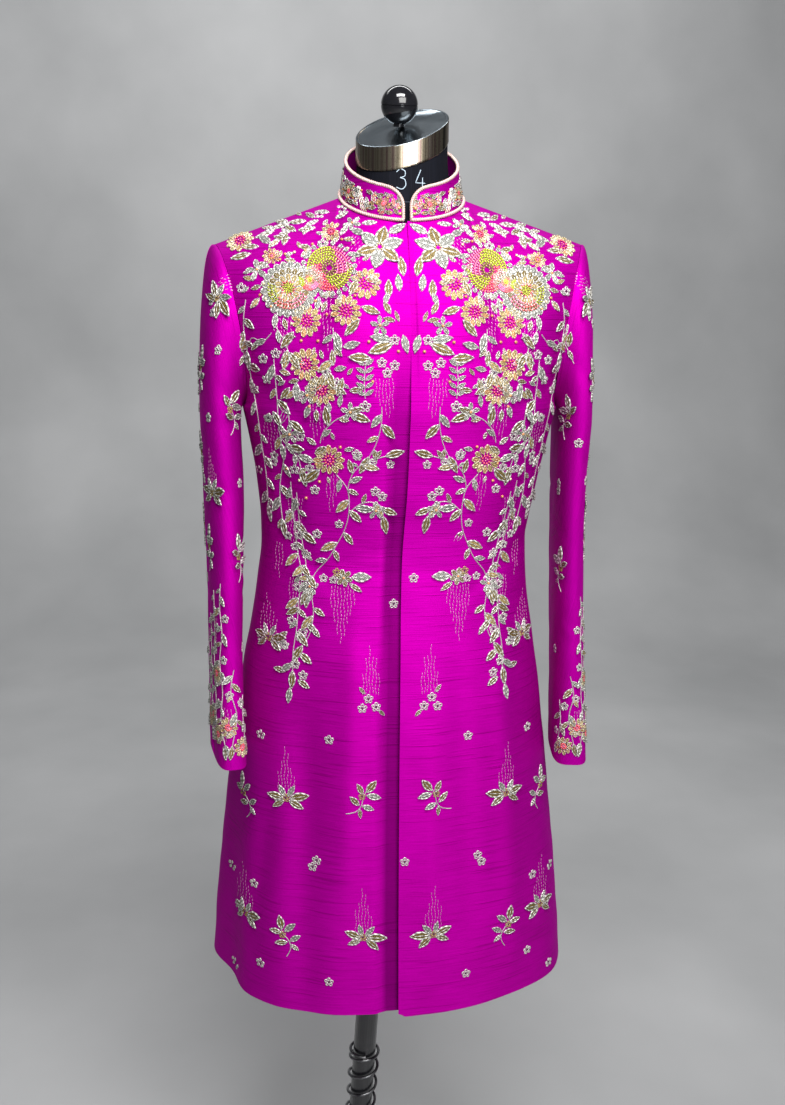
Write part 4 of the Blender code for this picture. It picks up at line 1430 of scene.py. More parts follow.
def rosette_buti(ground, a, b):
    """Three small flowers under a stepped row of strings."""
    for da, db in ((0.0, 0.0), (-0.009, -0.010), (0.007, -0.011)):
        rosette(ground, a + da, b + db)
    leaf(ground, a + 0.004, b + 0.006, 50, 0.011)
    leaf(ground, a - 0.012, b - 0.014, 225, 0.011)
    strings(ground, a - 0.003, b + 0.005, (30, 47, 46, 60, 43, 27), True)


def leaf_buti(ground, a, b, tall=1.0, lean=0.0):
    """A spray of leaves and small flowers under a stepped row of strings."""
    for angle, length in ((168, 0.026), (208, 0.021), (10, 0.022), (-34, 0.018), (60, 0.016), (120, 0.017)):
        leaf(ground, *off(a, b, angle, 0.003), angle + lean, length, 0.44,
             ANTIQUE if length > 0.0175 else OLD_SILVER)
    rosette(ground, a + 0.001, b + 0.001, 0.0054, PALE_GOLD)
    rosette(ground, a + 0.010, b - 0.004, 0.0044)
    strings(ground, a, b + 0.008, [tall * v for v in (22, 34, 48, 56, 40, 30)], True)


def side_flower(ground, a, b):
    """A loose flower whose strings hang below it."""
    leaf(ground, a - 0.008, b + 0.001, 178, 0.024, 0.5, OLD_SILVER)
    leaf(ground, a - 0.006, b - 0.006, 212, 0.018, 0.36)
    for _, angle in turns(6, 15.0):
        petal(ground, a, b, angle, 0.0105, 0.6, SILVER, ANTIQUE)
    rosette(ground, a + 0.008, b + 0.006, 0.0052, PALE_GOLD)
    rosette(ground, a + 0.012, b - 0.003, 0.0048)
    bead(ground, a, b, 0.0018, PEACH, 0.0014)
    strings(ground, a + 0.001, b - 0.010, (24, 38, 46, 58, 66, 58, 44, 30))


def little_star(ground, a, b, radius=0.011):
    for _, angle in turns(5, 90.0):
        petal(ground, a, b, angle, radius, 0.5, SILVER, OLD_SILVER)
    bead(ground, a, b, 0.0018, PEACH, 0.0014)


# %% [markdown]
# ## The layout of the fronts
# Places in the tables are how far from the front edge and how high over the floor, in millimetres. The
# work is dense at the shoulders, thins out to garlands below the chest, and scatters over the skirt.

# %% Fronts
DAISIES = (
    (48, 1343), (70, 1314), (112, 1303), (114, 1257), (97, 1230), (88, 1153), (185, 1391),
)
VINES = (
    ((148, 1262), (145, 1218), (143, 1183), (136, 1169), (123, 1155), (119, 1143)),
    ((123, 1113), (119, 1083), (114, 1055), (109, 1028), (108, 1001)),
    ((130, 1125), (126, 1090), (120, 1050), (114, 1015), (117, 985), (119, 955), (123, 928), (124, 905)),
    ((80, 1137), (67, 1120), (64, 1096), (67, 1074), (76, 1053), (85, 1036), (98, 1020), (106, 1002)),
    ((67, 1120), (62, 1138), (49, 1151), (34, 1156), (27, 1158)),
    ((64, 1092), (54, 1102), (42, 1106), (30, 1102), (26, 1090)),
    ((98, 1172), (95, 1184), (83, 1197), (72, 1203)),
    ((32, 1213), (32, 1194), (37, 1172), (44, 1158)),
    ((178, 1325), (181, 1300), (178, 1270), (174, 1240), (168, 1205), (163, 1165), (158, 1130), (155, 1095)),
    ((150, 1290), (160, 1280), (172, 1284), (178, 1270)),
    ((135, 1215), (132, 1190), (138, 1150), (142, 1115), (138, 1080)),
    ((84, 1296), (83, 1276), (84, 1262), (92, 1248)),
    ((148, 1300), (138, 1285), (132, 1270)),
    ((104, 1001), (100, 975), (104, 950), (112, 935)),
)
LEAF_GROWTH = 1.18
# Leaves on their own: away from the front edge, height, direction, length, width in hundredths of it
LEAVES = (
    (22, 1397, 135, 20, 44), (7, 1351, 80, 20, 42), (12, 1335, 84, 17, 44), (24, 1328, 90, 18, 44),
    (9, 1290, 258, 18, 42), (13, 1303, 70, 11, 36), (22, 1311, 62, 14, 44), (29, 1321, 110, 13, 44),
    (17, 1304, 12, 12, 42), (21, 1284, 10, 21, 42), (19, 1281, -20, 26, 42), (43, 1264, 8, 22, 44),
    (60, 1352, 40, 16, 46), (54, 1319, 195, 19, 42), (66, 1330, 100, 17, 46), (82, 1292, -115, 20, 40),
    (72, 1288, 130, 21, 40), (74, 1276, 165, 17, 44), (84, 1256, 85, 15, 40), (74, 1244, -70, 18, 44),
    (126, 1292, -35, 20, 44), (128, 1268, -20, 15, 44), (62, 1402, 175, 18, 42), (50, 1408, 150, 15, 40),
    (172, 1375, 5, 21, 40), (150, 1386, 60, 20, 42), (163, 1383, 20, 18, 40), (136, 1384, 110, 16, 44),
    (128, 1392, 30, 18, 44), (122, 1400, 55, 16, 44), (114, 1396, 120, 15, 44), (110, 1412, 20, 18, 42),
    (100, 1416, 60, 15, 42), (100, 1404, 10, 17, 44), (128, 1410, 0, 19, 40), (146, 1401, -8, 20, 40),
    (160, 1397, 170, 14, 44), (84, 1422, 30, 16, 42), (78, 1414, 160, 14, 44), (103, 1244, -60, 16, 46),
    (84, 1234, 210, 14, 44), (104, 1160, 150, 14, 46), (98, 1142, -40, 22, 46), (104, 1150, 20, 18, 44),
    (127, 884, -85, 17, 42), (66, 1205, 200, 20, 44), (78, 1212, 100, 13, 40), (124, 1238, -80, 18, 44),
    (131, 1232, -40, 15, 44), (140, 1168, -90, 16, 44), (150, 1205, -120, 17, 44), (116, 978, -30, 17, 44),
    (108, 962, 220, 16, 44), (130, 948, -40, 15, 46), (116, 926, 215, 17, 46), (132, 902, 10, 14, 46),
    (118, 894, 210, 15, 46),
)
ROSETTES = (
    (18, 1284), (32, 1260), (18, 1257), (26, 1249), (92, 1249), (80, 1238), (140, 1318), (183, 1338),
    (160, 1262), (146, 1268), (122, 1222), (58, 1160), (36, 1118), (41, 1150), (28, 1112), (109, 1040),
    (118, 1002), (112, 950), (125, 962), (135, 932), (121, 912), (112, 900), (82, 827), (162, 820),
    (97, 676), (102, 667), (173, 629), (202, 625), (84, 524), (167, 531), (201, 497), (95, 1420),
    (70, 1425), (134, 1405), (156, 1240), (171, 1228), (120, 1178), (150, 1146), (126, 1140), (103, 1118),
    (118, 1062), (98, 1066), (93, 1386),
)
BEADS = (
    (60, 1386), (66, 1380), (104, 1385), (112, 1378), (118, 1382), (124, 1376), (134, 1374), (140, 1368),
    (72, 1390), (96, 1320), (102, 1324), (120, 1304), (128, 1300), (150, 1318), (156, 1326), (158, 1342),
    (162, 1330), (60, 1330), (58, 1300), (90, 1310), (100, 1282), (118, 1282), (128, 1252), (104, 1262),
    (88, 1222), (110, 1212), (76, 1168), (102, 1148), (98, 1128), (120, 1128), (112, 1108), (134, 1140),
    (46, 1282), (14, 1272), (42, 1240), (148, 1330),
)
LEFT_ONLY = ((14, 1016), (7, 678))
RIGHT_ONLY = ((8, 985),)


# Rows of a motif, its place in metres and what else it asks for
CHEST_WORK = (
    (star, 0.032, 1.382, 0.027), (blossom, 0.087, 1.359, 0.0265), (layered_flower, 0.131, 1.337, 0.0305),
    (layered_flower, 0.108, 1.346, 0.0150), (foliage, 0.087, 1.359, 0.027, 0.046, 20),
    (foliage, 0.134, 1.340, 0.026, 0.044, 18), (foliage, 0.100, 1.240, 0.020, 0.038, 16),
    (foliage, 0.088, 1.153, 0.019, 0.032, 9, 0.012), (foliage, 0.120, 1.400, 0.004, 0.030, 10, 0.016),
)
SMALL_WORK = (
    (daisy, 0.083, 1.399, 0.0125, 11), (daisy, 0.149, 1.372, 0.0105, 10, 8.0, PEACH, PEACH),
    (little_star, 0.165, 1.357, 0.014), (little_star, 0.034, 1.299), (little_star, 0.066, 1.207),
    (little_star, 0.060, 1.408), (little_star, 0.112, 1.224), (little_star, 0.131, 1.180),
    (little_star, 0.104, 1.004), (little_star, 0.034, 1.096),
)
LOW_WORK = (
    (fern, 0.049, 1.262, 1.222), (strings, 0.029, 1.243, (38, 46, 40, 30, 34, 24)),
    (strings, 0.054, 1.394, (20, 30, 34, 38, 28)), (strings, 0.016, 1.404, (22, 34, 26)),
    (strings, 0.092, 1.330, (34, 42, 36, 22)), (strings, 0.138, 1.312, (30, 48, 56, 44, 34, 22)),
    (strings, 0.090, 1.298, (20, 26, 18)), (strings, 0.100, 1.214, (34, 42, 30, 38, 44, 26)),
    (strings, 0.084, 1.136, (30, 40, 46, 28)), (strings, 0.152, 1.200, (28, 40, 48, 36, 24)),
    (strings, 0.124, 1.108, (50, 64, 56, 60, 40)), (strings, 0.122, 1.012, (36, 46, 40, 30)),
    (strings, 0.140, 1.050, (30, 44, 36)), (side_flower, 0.066, 1.016), (rosette_buti, 0.037, 0.878),
    (leaf_buti, 0.152, 0.936, 0.8), (leaf_buti, 0.132, 0.748), (leaf_buti, 0.042, 0.582, 1.05, 14.0),
    (leaf_buti, 0.185, 0.584), (sprig, 0.042, 0.761, 118), (sprig, 0.184, 0.738, 66),
    (sprig, 0.138, 0.578, 66),
)


def set_motifs(ground, table):
    for motif, *values in table:
        motif(ground, *values)


def work_front(ground, extra):
    set_motifs(ground, CHEST_WORK)
    for a, b in DAISIES:
        daisy(ground, a * MM, b * MM, 0.0172, 12, a)
    set_motifs(ground, SMALL_WORK)
    for places in VINES:
        vine(ground, places)
    for a, b, angle, length, width in LEAVES:
        leaf(ground, a * MM, b * MM, angle, LEAF_GROWTH * length * MM, width / 100,
             ANTIQUE if (a + b) % 3 else OLD_SILVER)
    scatter(ground, rosette, ROSETTES + extra)
    for a, b in BEADS:
        bead(ground, a * MM, b * MM, 0.0019, PEACH if (a + b) % 3 else CREAM, 0.0008)
    set_motifs(ground, LOW_WORK)


for ground, extra in zip(fronts, (LEFT_ONLY, RIGHT_ONLY)):
    work_front(ground, extra)
print("fronts:", {kind: len(found) for kind, found in marks.items()})

# %% [markdown]
# ## Sleeves, collar and back
# A sleeve carries scattered sprigs, and a dense cuff on its outer half. Along each half of the collar the
# same spray comes three times. The back isn't seen in the picture, so it repeats the fronts' motifs more
# sparsely.

# %% Sleeves
SLEEVE_SPRIGS = {
    1: ((-15, 1288, 75), (-22, 1198, 70), (-21, 1015, 80), (34, 1240, 80), (70, 1150, 75), (44, 1045, 80),
        (100, 1230, 85), (108, 1060, 80)),
    -1: ((-12, 1206, 80), (-14, 1039, 78), (-24, 1300, 70), (62, 1250, 80), (80, 1150, 75), (48, 1045, 80),
         (110, 1240, 85), (106, 1060, 80)),
}
SLEEVE_ROSETTES = {
    1: ((-3, 1334), (-1, 1166), (-36, 1114), (-36, 1105), (-38, 909), (20, 1120), (60, 1300), (90, 1190),
        (80, 1010)),
    -1: ((23, 1195), (20, 1270), (60, 1120), (-30, 930), (50, 1310), (92, 1200), (84, 1000), (-20, 1120)),
}
SLEEVE_BUTIS = {1: ((58, 1325), (56, 1085)), -1: ((50, 1325), (24, 1109))}
CUFF_VINES = (
    ((14, 0.98), (17, 0.84), (13, 0.70), (18, 0.54), (13, 0.38), (17, 0.22), (11, 0.08)),
    ((36, 0.92), (33, 0.70), (39, 0.52), (33, 0.34), (38, 0.14)),
    ((-2, 0.50), (2, 0.38), (-4, 0.24), (2, 0.08)),
    ((-18, 0.34), (-15, 0.22), (-20, 0.08)),
    ((58, 0.76), (54, 0.50), (61, 0.32), (55, 0.12)),
    ((82, 0.56), (78, 0.36), (84, 0.14)),
)


CUFF_EDGE = 0.012
CUFF_HEIGHT = 0.200


def work_sleeve(ground, side):
    low = SLEEVES[side][0][0] + CUFF_EDGE
    for a, b, angle in SLEEVE_SPRIGS[side]:
        sprig(ground, a * MM, b * MM, angle, 0.044)
    scatter(ground, rosette, SLEEVE_ROSETTES[side])
    scatter(ground, leaf_buti, SLEEVE_BUTIS[side], 0.8)
    for places in CUFF_VINES:
        vine(ground, [(a, (low + share * CUFF_HEIGHT) / MM) for a, share in places], 16.0, 10.5, 4)
    for a, share in ((25, 0.12), (6, 0.18), (48, 0.20), (70, 0.15), (26, 0.46), (-10, 0.06)):
        daisy(ground, a * MM, low + share * CUFF_HEIGHT, 0.0115, 10, a)
    for a, share in ((8, 0.14), (30, 0.62), (54, 0.60), (76, 0.50)):
        strings(ground, a * MM, low + share * CUFF_HEIGHT + 0.03, (20, 34, 42, 30))


for ground, side in zip(sleeves, (1, -1)):
    work_sleeve(ground, side)

# %% Collar
# Along the band from its front, up it, direction and length
COLLAR_LEAVES = (
    (6, 6, 30, 10), (9, 10, 80, 11), (7, 15, 40, 9), (12, 7, 0, 11), (13, 13, 60, 12), (10, 21, 20, 9),
    (16, 20, 150, 9), (20, 9, -30, 10), (21, 23, 20, 10), (24, 8, 30, 9), (27, 24, 160, 9),
    (31, 21, 30, 10), (33, 10, -10, 11), (35, 14, 50, 12), (38, 7, 20, 11), (37, 24, 170, 9),
    (41, 16, 100, 11), (44, 9, 60, 11), (42, 24, 10, 10),
)


def work_collar(ground):
    """Along the band: gold bits by the front, then leaf sprays, flower groups and long arcs by turns."""
    scatter(ground, bead, ((5, 7), (8, 13), (5, 19), (8, 25)), 0.0020, PALE_GOLD, 0.0008)
    for start in (0, 52, 104):
        for k, (a, b, angle, length) in enumerate(COLLAR_LEAVES):
            leaf(ground, (start + a) * MM, b * MM, angle, length * MM, 0.46,
                 (ANTIQUE, CORAL, OLD_SILVER)[k % 3])
        daisy(ground, (start + 26) * MM, 0.0160, 0.0075, 9, 10.0, ROSE)
        flowers = [(start + a, b) for a, b in ((18, 15), (33, 17), (41, 12))]
        scatter(ground, rosette, flowers, 0.0042, PALE_GOLD)
        for k in range(9):
            bead(ground, (start + 6 + 4.6 * k) * MM, (15 + 9 * sin(2.1 * k + start)) * MM, 0.0014,
                 PEACH, 0.0008)
        for k in range(3):
            arc = stem(ground, [((start + 44 + 3 * k) * MM, 0.003), ((start + 50 + 3 * k) * MM, 0.012),
                                ((start + 61 + 2 * k) * MM, 0.025)], CREAM)
            for (a0, b0), (a1, b1) in zip(arc, arc[1:]):
                stitch(ground, a1, b1, degrees(atan2(b1 - b0, a1 - a0)) + 24, 0.0042, SILVER,
                       0.0006, 0.0013)


for ground in collars:
    work_collar(ground)

# %% Back
BACK_VINES = (
    ((30, 1395), (42, 1360), (38, 1325), (50, 1290), (46, 1255), (58, 1220), (54, 1185), (64, 1150)),
    ((100, 1385), (112, 1350), (104, 1315), (116, 1280), (110, 1245), (122, 1205), (118, 1165), (126, 1120)),
    ((150, 1365), (160, 1325), (152, 1290), (162, 1250), (158, 1210), (156, 1170)),
    ((118, 1100), (112, 1060), (116, 1020), (124, 980), (120, 940), (128, 900)),
    ((60, 1140), (66, 1100), (60, 1060), (68, 1025)),
)
BACK_DAISIES = (
    (40, 1378), (72, 1344), (112, 1318), (84, 1275), (142, 1345), (100, 1215), (130, 1240), (76, 1160),
)
BACK_ROSETTES = (
    (20, 1330), (30, 1270), (24, 1210), (90, 1080), (84, 1000), (20, 985), (82, 827), (162, 820), (98, 672),
    (173, 629), (20, 678), (84, 524), (167, 531), (201, 497), (120, 1380), (60, 1400),
)


BACK_STRINGS = (24, 36, 44, 32)
BACK_WORK = (
    (star, 0.020, 1.352, 0.018), (strings, 0.072, 1.326, BACK_STRINGS), (strings, 0.112, 1.300, BACK_STRINGS),
    (strings, 0.100, 1.198, BACK_STRINGS), (strings, 0.142, 1.328, BACK_STRINGS),
    (side_flower, 0.066, 1.016), (rosette_buti, 0.040, 0.878), (leaf_buti, 0.152, 0.936, 0.8),
    (leaf_buti, 0.132, 0.748), (leaf_buti, 0.045, 0.582), (leaf_buti, 0.190, 0.584),
    (sprig, 0.046, 0.761, 110), (sprig, 0.178, 0.738, 66), (sprig, 0.132, 0.578, 70),
)


def work_back(ground):
    for places in BACK_VINES:
        vine(ground, places)
    for a, b in BACK_DAISIES:
        daisy(ground, a * MM, b * MM, 0.0150, 12, a)
    scatter(ground, rosette, BACK_ROSETTES)
    set_motifs(ground, BACK_WORK)


for ground in backs:
    work_back(ground)
print("all sheets:", {kind: len(found) for kind, found in marks.items()})

# %% [markdown]
# Each shape is one unit long, and its heights run from 0 to 1, so that the points' sizes stretch it to
# millimetres. The rims and fillings carry a UV map named stitch, which the thread's material reads to
# lay its bands.

# %% Low shapes of one unit


def half_leaf(share):
    return 0.5 * sin(pi * share ** 0.92) ** 0.95


def half_petal(share):
    return 0.5 * sin(pi * min(share, 1.0) ** 1.5) ** 0.62


def unit_mesh(name, verts, faces, marks_uv=None):
    mesh = new_mesh(name, verts, faces)
    if marks_uv:
        layer = mesh.uv_layers.new(name="stitch")
        for loop in mesh.loops:
            layer.data[loop.index].uv = marks_uv[loop.vertex_index]
    mesh.shade_smooth()
    return add_object("kit_" + name, mesh)


def rim_shape(name, half, steps):
    """A coiled cord round the outline, with a vein along the middle."""
    shares = [0.0] + [(1 - cos(pi * k / steps)) / 2 for k in range(1, steps)] + [1.0]
    outline = [(s, half(s)) for s in shares] + [(s, -half(s)) for s in shares[-2:0:-1]]
    verts, faces, spots = [], [], []
    count = len(outline)
    for k, (x, y) in enumerate(outline):
        for inset, height, v in ((1.0, 0.0, 0.0), (0.86, 1.0, 0.5), (0.66, 0.25, 1.0)):
            verts.append((0.5 + (x - 0.5) * (1 - (1 - inset) * 0.55), y * inset, height))
            spots.append((0.5 * k, v))
    for k in range(count):
        n = (k + 1) % count
        for j in range(2):
            faces.append((3 * n + j, 3 * k + j, 3 * k + j + 1, 3 * n + j + 1))
    start = len(verts)
    for k in range(4):
        x = 0.10 + 0.22 * k
        for y, height, v in ((-0.05, 0.45, 0.0), (0.0, 0.95, 0.5), (0.05, 0.45, 1.0)):
            verts.append((x, y, height))
            spots.append((0.5 * k, v))
    for k in range(3):
        for j in range(2):
            a = start + 3 * k + j
            faces.append((a, a + 3, a + 4, a + 1))
    return unit_mesh(name, verts, faces, spots)


def fill_shape(name, half, steps):
    verts, faces, spots = [], [], []
    for k in range(steps + 1):
        share = 0.05 + 0.90 * k / steps
        for side, height in ((-1, 0.20), (0, 0.62), (1, 0.20)):
            verts.append((share, side * half(share) * 0.80, height))
            spots.append((share, side))
    for k in range(steps):
        for j in range(2):
            a = 3 * k + j
            faces.append((a, a + 3, a + 4, a + 1))
    return unit_mesh(name, verts, faces, spots)


def ring_shape(name, sides=8):
    verts, faces = [], []
    for k in range(sides):
        turn = FULL_TURN * k / sides
        for radius, height in ((1.0, 0.0), (0.74, 1.0), (0.42, 0.2)):
            verts.append((radius * cos(turn), radius * sin(turn), height))
        n = (k + 1) % sides
        faces += [(3 * k + j, 3 * n + j, 3 * n + j + 1, 3 * k + j + 1) for j in range(2)]
    return unit_mesh(name, verts, faces)


def bead_shape(name):
    """A bead with six sides and a point at each end."""
    verts = [(1.0, 0.0, 0.0)]
    for x in (0.55, -0.55):
        verts += [(x, 0.86 * cos(pi * k / 3), 0.86 * sin(pi * k / 3)) for k in range(6)]
    verts.append((-1.0, 0.0, 0.0))
    faces = [(0, 1 + k, 1 + (k + 1) % 6) for k in range(6)]
    faces += [(1 + k, 7 + k, 7 + (k + 1) % 6, 1 + (k + 1) % 6) for k in range(6)]
    faces += [(13, 7 + (k + 1) % 6, 7 + k) for k in range(6)]
    return unit_mesh(name, verts, faces)


def stitch_shape(name):
    """A flat satin stitch: four sides, pointed ends and an open underside."""
    verts = [(0.5, 0.0, 0.0), (0.3, 0.5, 0.0), (0.3, 0.0, 1.0), (0.3, -0.5, 0.0),
             (-0.3, 0.5, 0.0), (-0.3, 0.0, 1.0), (-0.3, -0.5, 0.0), (-0.5, 0.0, 0.0)]
    faces = [(0, 1, 2), (0, 2, 3), (1, 4, 5, 2), (2, 5, 6, 3), (4, 7, 5), (5, 7, 6)]
    return unit_mesh(name, verts, faces)


kit = {
    "leaf_rim": rim_shape("leaf_rim", half_leaf, 7), "leaf_fill": fill_shape("leaf_fill", half_leaf, 6),
    "petal_rim": rim_shape("petal_rim", half_petal, 5), "petal_fill": fill_shape("petal_fill", half_petal, 4),
    "ring": ring_shape("ring"), "bead": bead_shape("bead"), "stitch": stitch_shape("stitch"),
}
print("kit faces", {name: len(shape.data.polygons) for name, shape in kit.items()})

# %% Thread and bead finishes


def stitched_material(name, bands):
    """Metal thread laid in slanting bands, over the element's own tint."""
    material, tree, shader = new_material(name, {"Metallic": 0.35, "Roughness": 0.40})
    spot = add_node(tree, "ShaderNodeSeparateXYZ", {0: add_node(tree, "ShaderNodeUVMap", uv_map="stitch")})
    slant = calculate(tree, "ABSOLUTE", spot.outputs["Y"])
    run = calculate(tree, "MULTIPLY_ADD", slant, -0.16, spot.outputs["X"])
    wave = calculate(tree, "SINE", calculate(tree, "MULTIPLY", run, bands))
    grain = noise(tree, object_place(tree), 1300.0, 2.0, 0.7)
    mixed = calculate(tree, "MULTIPLY_ADD", wave, 0.22, grain)
    tint = add_node(tree, "ShaderNodeAttribute", attribute_name="tint")
    feed(tree, shader, {"Base Color": scaled(tree, tint, spread(tree, mixed, 0.12, 1.25, 0.2, 0.8)),
                        "Normal": relief(tree, mixed, 0.8, 0.0004)})
    return material


def bead_material():
    material, tree, shader = new_material("glass_bead", {"Metallic": 0.25, "Roughness": 0.22})
    cloud = noise(tree, object_place(tree), 240.0, 1.0)
    feed(tree, shader, {"Base Color": add_node(tree, "ShaderNodeAttribute", attribute_name="tint"),
                        "Roughness": spread(tree, cloud, 0.14, 0.36)})
    return material


rim_finish = stitched_material("coiled_thread", 9.0)
fill_finish = stitched_material("beaded_filling", 62.0)
bead_finish = bead_material()
FINISHES = {"leaf_rim": rim_finish, "petal_rim": rim_finish, "ring": rim_finish, "leaf_fill": fill_finish,
            "petal_fill": fill_finish, "bead": bead_finish, "stitch": bead_finish}

# %% Set all the needlework


def points_mesh(name, found):
    mesh = new_mesh(name, [point for point, _, _, _ in found], ())
    for label, kind, field, values in (
            ("turn", "FLOAT_VECTOR", "vector", [tuple(euler) for _, euler, _, _ in found]),
            ("size", "FLOAT_VECTOR", "vector", [size for _, _, size, _ in found]),
            ("tint", "FLOAT_COLOR", "color", [(*tint, 1.0) for _, _, _, tint in found])):
        layer = mesh.attributes.new(label, kind, "POINT")
        layer.data.foreach_set(field, np.array(values, dtype=np.float32).ravel())
    return mesh


needlework = []
for kind, found in marks.items():
    needlework.append(grown("needlework_" + kind, points_mesh(kind, found), trees["strew"],
                            {"Motif": kit[kind], "Growth": 1.0, "Finish": FINISHES[kind]}))
stem_lines = line_mesh("stems", stems["lines"], stems["tints"])
needlework.append(grown("needlework_stems", stem_lines, trees["thread"],
                        {"Radius": 0.00055, "Sides": 5, "Finish": rim_finish}))
for shape in kit.values():
    bpy.data.objects.remove(shape, do_unlink=True)

# %% [markdown]
# ## The dress form
# The form shows only at the neck, inside the collar and from below, yet it has to be round there. It is
# the coat's own shape moved inwards, without the skirt's flutes, and its neck narrows from the collar's
# ring to a cylinder. Dark cloth is pulled tight over it, with a fine seam round the neck.

# %% Sizes and mesh of the form
FORM_BOTTOM_Z = 0.800
FORM_CLEARANCE = 0.008
FORM_REST_GAP = 0.0005
NECK_RADIUS = 0.0520
CAP_RADIUS = 0.0530
CAP_HEIGHT = 0.026
CAP_TOP_Z = 1.518
CAP_SLOPE = (0.26, 0.46)
FORM_SKIRT_ROWS = 14
FORM_YOKE_ROWS = 20
FORM_NECK_ROWS = 16


def form_depth(across, up):
    carried = smooth_step((across - NECK_SHARE - 0.04) / 0.12) * smooth_step((up - 0.55) / 0.40)
    return CLOTH + FORM_REST_GAP + (FORM_CLEARANCE - FORM_REST_GAP) * (1 - carried)


def form_level(surface, depth_at):
    """A ring round the form, from the middle front by the left side and the back to the front again."""
    ring = []
    quarters = ((1, -1, ACROSS), (1, 1, ACROSS[::-1]), (-1, 1, ACROSS[1:]), (-1, -1, ACROSS[:0:-1]))
    for side, face, places in quarters:
        for across in places:
            point = surface(side, face, across)
            ring.append(point - outward(point) * depth_at(across))
    return ring


def neck_rings(collar_ring):
    """Rings from the collar's ring up the neck, which becomes a cylinder under the slanting cap."""
    rings = []
    for r in range(1, FORM_NECK_ROWS + 1):
        share = r / FORM_NECK_ROWS
        narrow = 1 - (1 - share) ** 3
        ring = []
        for point in collar_ring:
            flat = Vector((point.x, point.y, 0))
            spot = flat.lerp(flat.normalized() * NECK_RADIUS, narrow)
            top = CAP_TOP_Z - CAP_HEIGHT - SEAM_GAP + CAP_SLOPE[0] * spot.x + CAP_SLOPE[1] * spot.y
            ring.append(Vector((spot.x, spot.y, point.z + (top - point.z) * share)))
        rings.append(ring)
    return rings


def form_mesh():
    rings = []
    for r in range(FORM_SKIRT_ROWS):
        z = FORM_BOTTOM_Z + (UNDERARM_Z - FORM_BOTTOM_Z) * r / FORM_SKIRT_ROWS
        rings.append(form_level(
            lambda side, face, across: section_point(z, panel_angle(side, face, across), False),
            lambda across: CLOTH + FORM_CLEARANCE))
    for r in range(FORM_YOKE_ROWS + 1):
        up = r / FORM_YOKE_ROWS
        rings.append(form_level(lambda side, face, across: yoke_point(side, face, across, up),
                                lambda across: form_depth(across, up)))
    work = bmesh.new()
    levels = [[work.verts.new(point + shift) for point in ring] for ring in rings]
    count, places = len(levels[0]), len(ACROSS)
    for low, high in zip(levels, levels[1:]):
        for c in range(count):
            d = (c + 1) % count
            work.faces.new((low[c], low[d], high[d], high[c]))
    work.faces.new(levels[0][::-1])
    neck_count = ACROSS.index(NECK_SHARE) + 1
    spans = (slice(0, neck_count), slice(2 * places - neck_count, 2 * places),
             slice(2 * places, 2 * places + neck_count - 1), slice(count - neck_count + 1, count))
    level = [vertex for span in spans for vertex in levels[-1][span]]
    ring_points = [point for span in spans for point in rings[-1][span]]
    for ring in neck_rings(ring_points):
        fresh = [work.verts.new(point + shift) for point in ring]
        for c in range(len(fresh)):
            d = (c + 1) % len(fresh)
            if (level[c].co - level[d].co).length > 0.00002:
                work.faces.new((level[c], level[d], fresh[d], fresh[c]))
        level = fresh
    work.faces.new(level)
    bmesh.ops.remove_doubles(work, verts=work.verts, dist=0.00005)
    return closed_mesh(work, bpy.data.meshes.new("form_cloth"), 45)


def add_piece(name, mesh, material):
    mesh.materials.append(material)
    return add_object(name, mesh)


# %% Dark cloth over the form


def form_material():
    material, tree, shader = new_material("dark_form_cloth", {"Roughness": 0.80, "Specular IOR Level": 0.10})
    cloth = add_weave(tree, object_place(tree), 900.0, 1300.0, 0.05)
    darks = ((0.3, (0.004, 0.0045, 0.007)), (0.8, (0.010, 0.011, 0.018)))
    feed(tree, shader, {"Base Color": ramp(tree, darks, cloth["Shade"]),
                        "Normal": relief(tree, cloth["Height"], 0.35, 0.0004)})
    return material


form = add_piece("form_skin", form_mesh(), form_material())
form_tree = BVHTree.FromObject(form, bpy.context.evaluated_depsgraph_get())
print("form", len(form.data.polygons), "faces")

# %% [markdown]
# The form's size is written on its neck in chalk-blue strokes. They are short lines laid on the
# neck: each point is found by a ray from the front. A fine seam goes round the neck just above the
# collar's lowest place.

# %% The size on the neck, and the neck's seam
# Strokes of the figures: across and up, in millimetres from the figure's lower left corner
FIGURES = {
    "3": (((1, 19), (5, 22), (10, 20), (10, 15), (5, 13)), ((5, 13), (10, 11), (11, 5), (7, 1), (1, 3))),
    "4": (((7, 22), (1, 8), (12, 8)), ((9, 14), (9, 0))),
}
NUMERAL_Z = 1.4445
NECK_SEAM_Z = 1.432


def on_neck(x, z, lift=0.0002):
    hit, normal, _, _ = form_tree.ray_cast(Vector((COAT_X + x, -0.3, z)), Vector((0, 1, 0)))
    return hit + normal * lift


def numeral_lines():
    lines = []
    for left, figure in ((-12, "3"), (9, "4")):
        for stroke in FIGURES[figure]:
            ends = [stroke[0], *stroke, stroke[-1]]
            line = []
            for p0, p1, p2, p3 in zip(ends, ends[1:], ends[2:], ends[3:]):
                for step in range(5):
                    share = step / 5
                    a, b = curve_between(p0, p1, p2, p3, share) if figure == "3" else \
                        (p1[0] + (p2[0] - p1[0]) * share, p1[1] + (p2[1] - p1[1]) * share)
                    line.append(on_neck((left + a) * MM, NUMERAL_Z + b * MM))
            line.append(on_neck((left + stroke[-1][0]) * MM, NUMERAL_Z + stroke[-1][1] * MM))
            lines.append(line)
    return lines


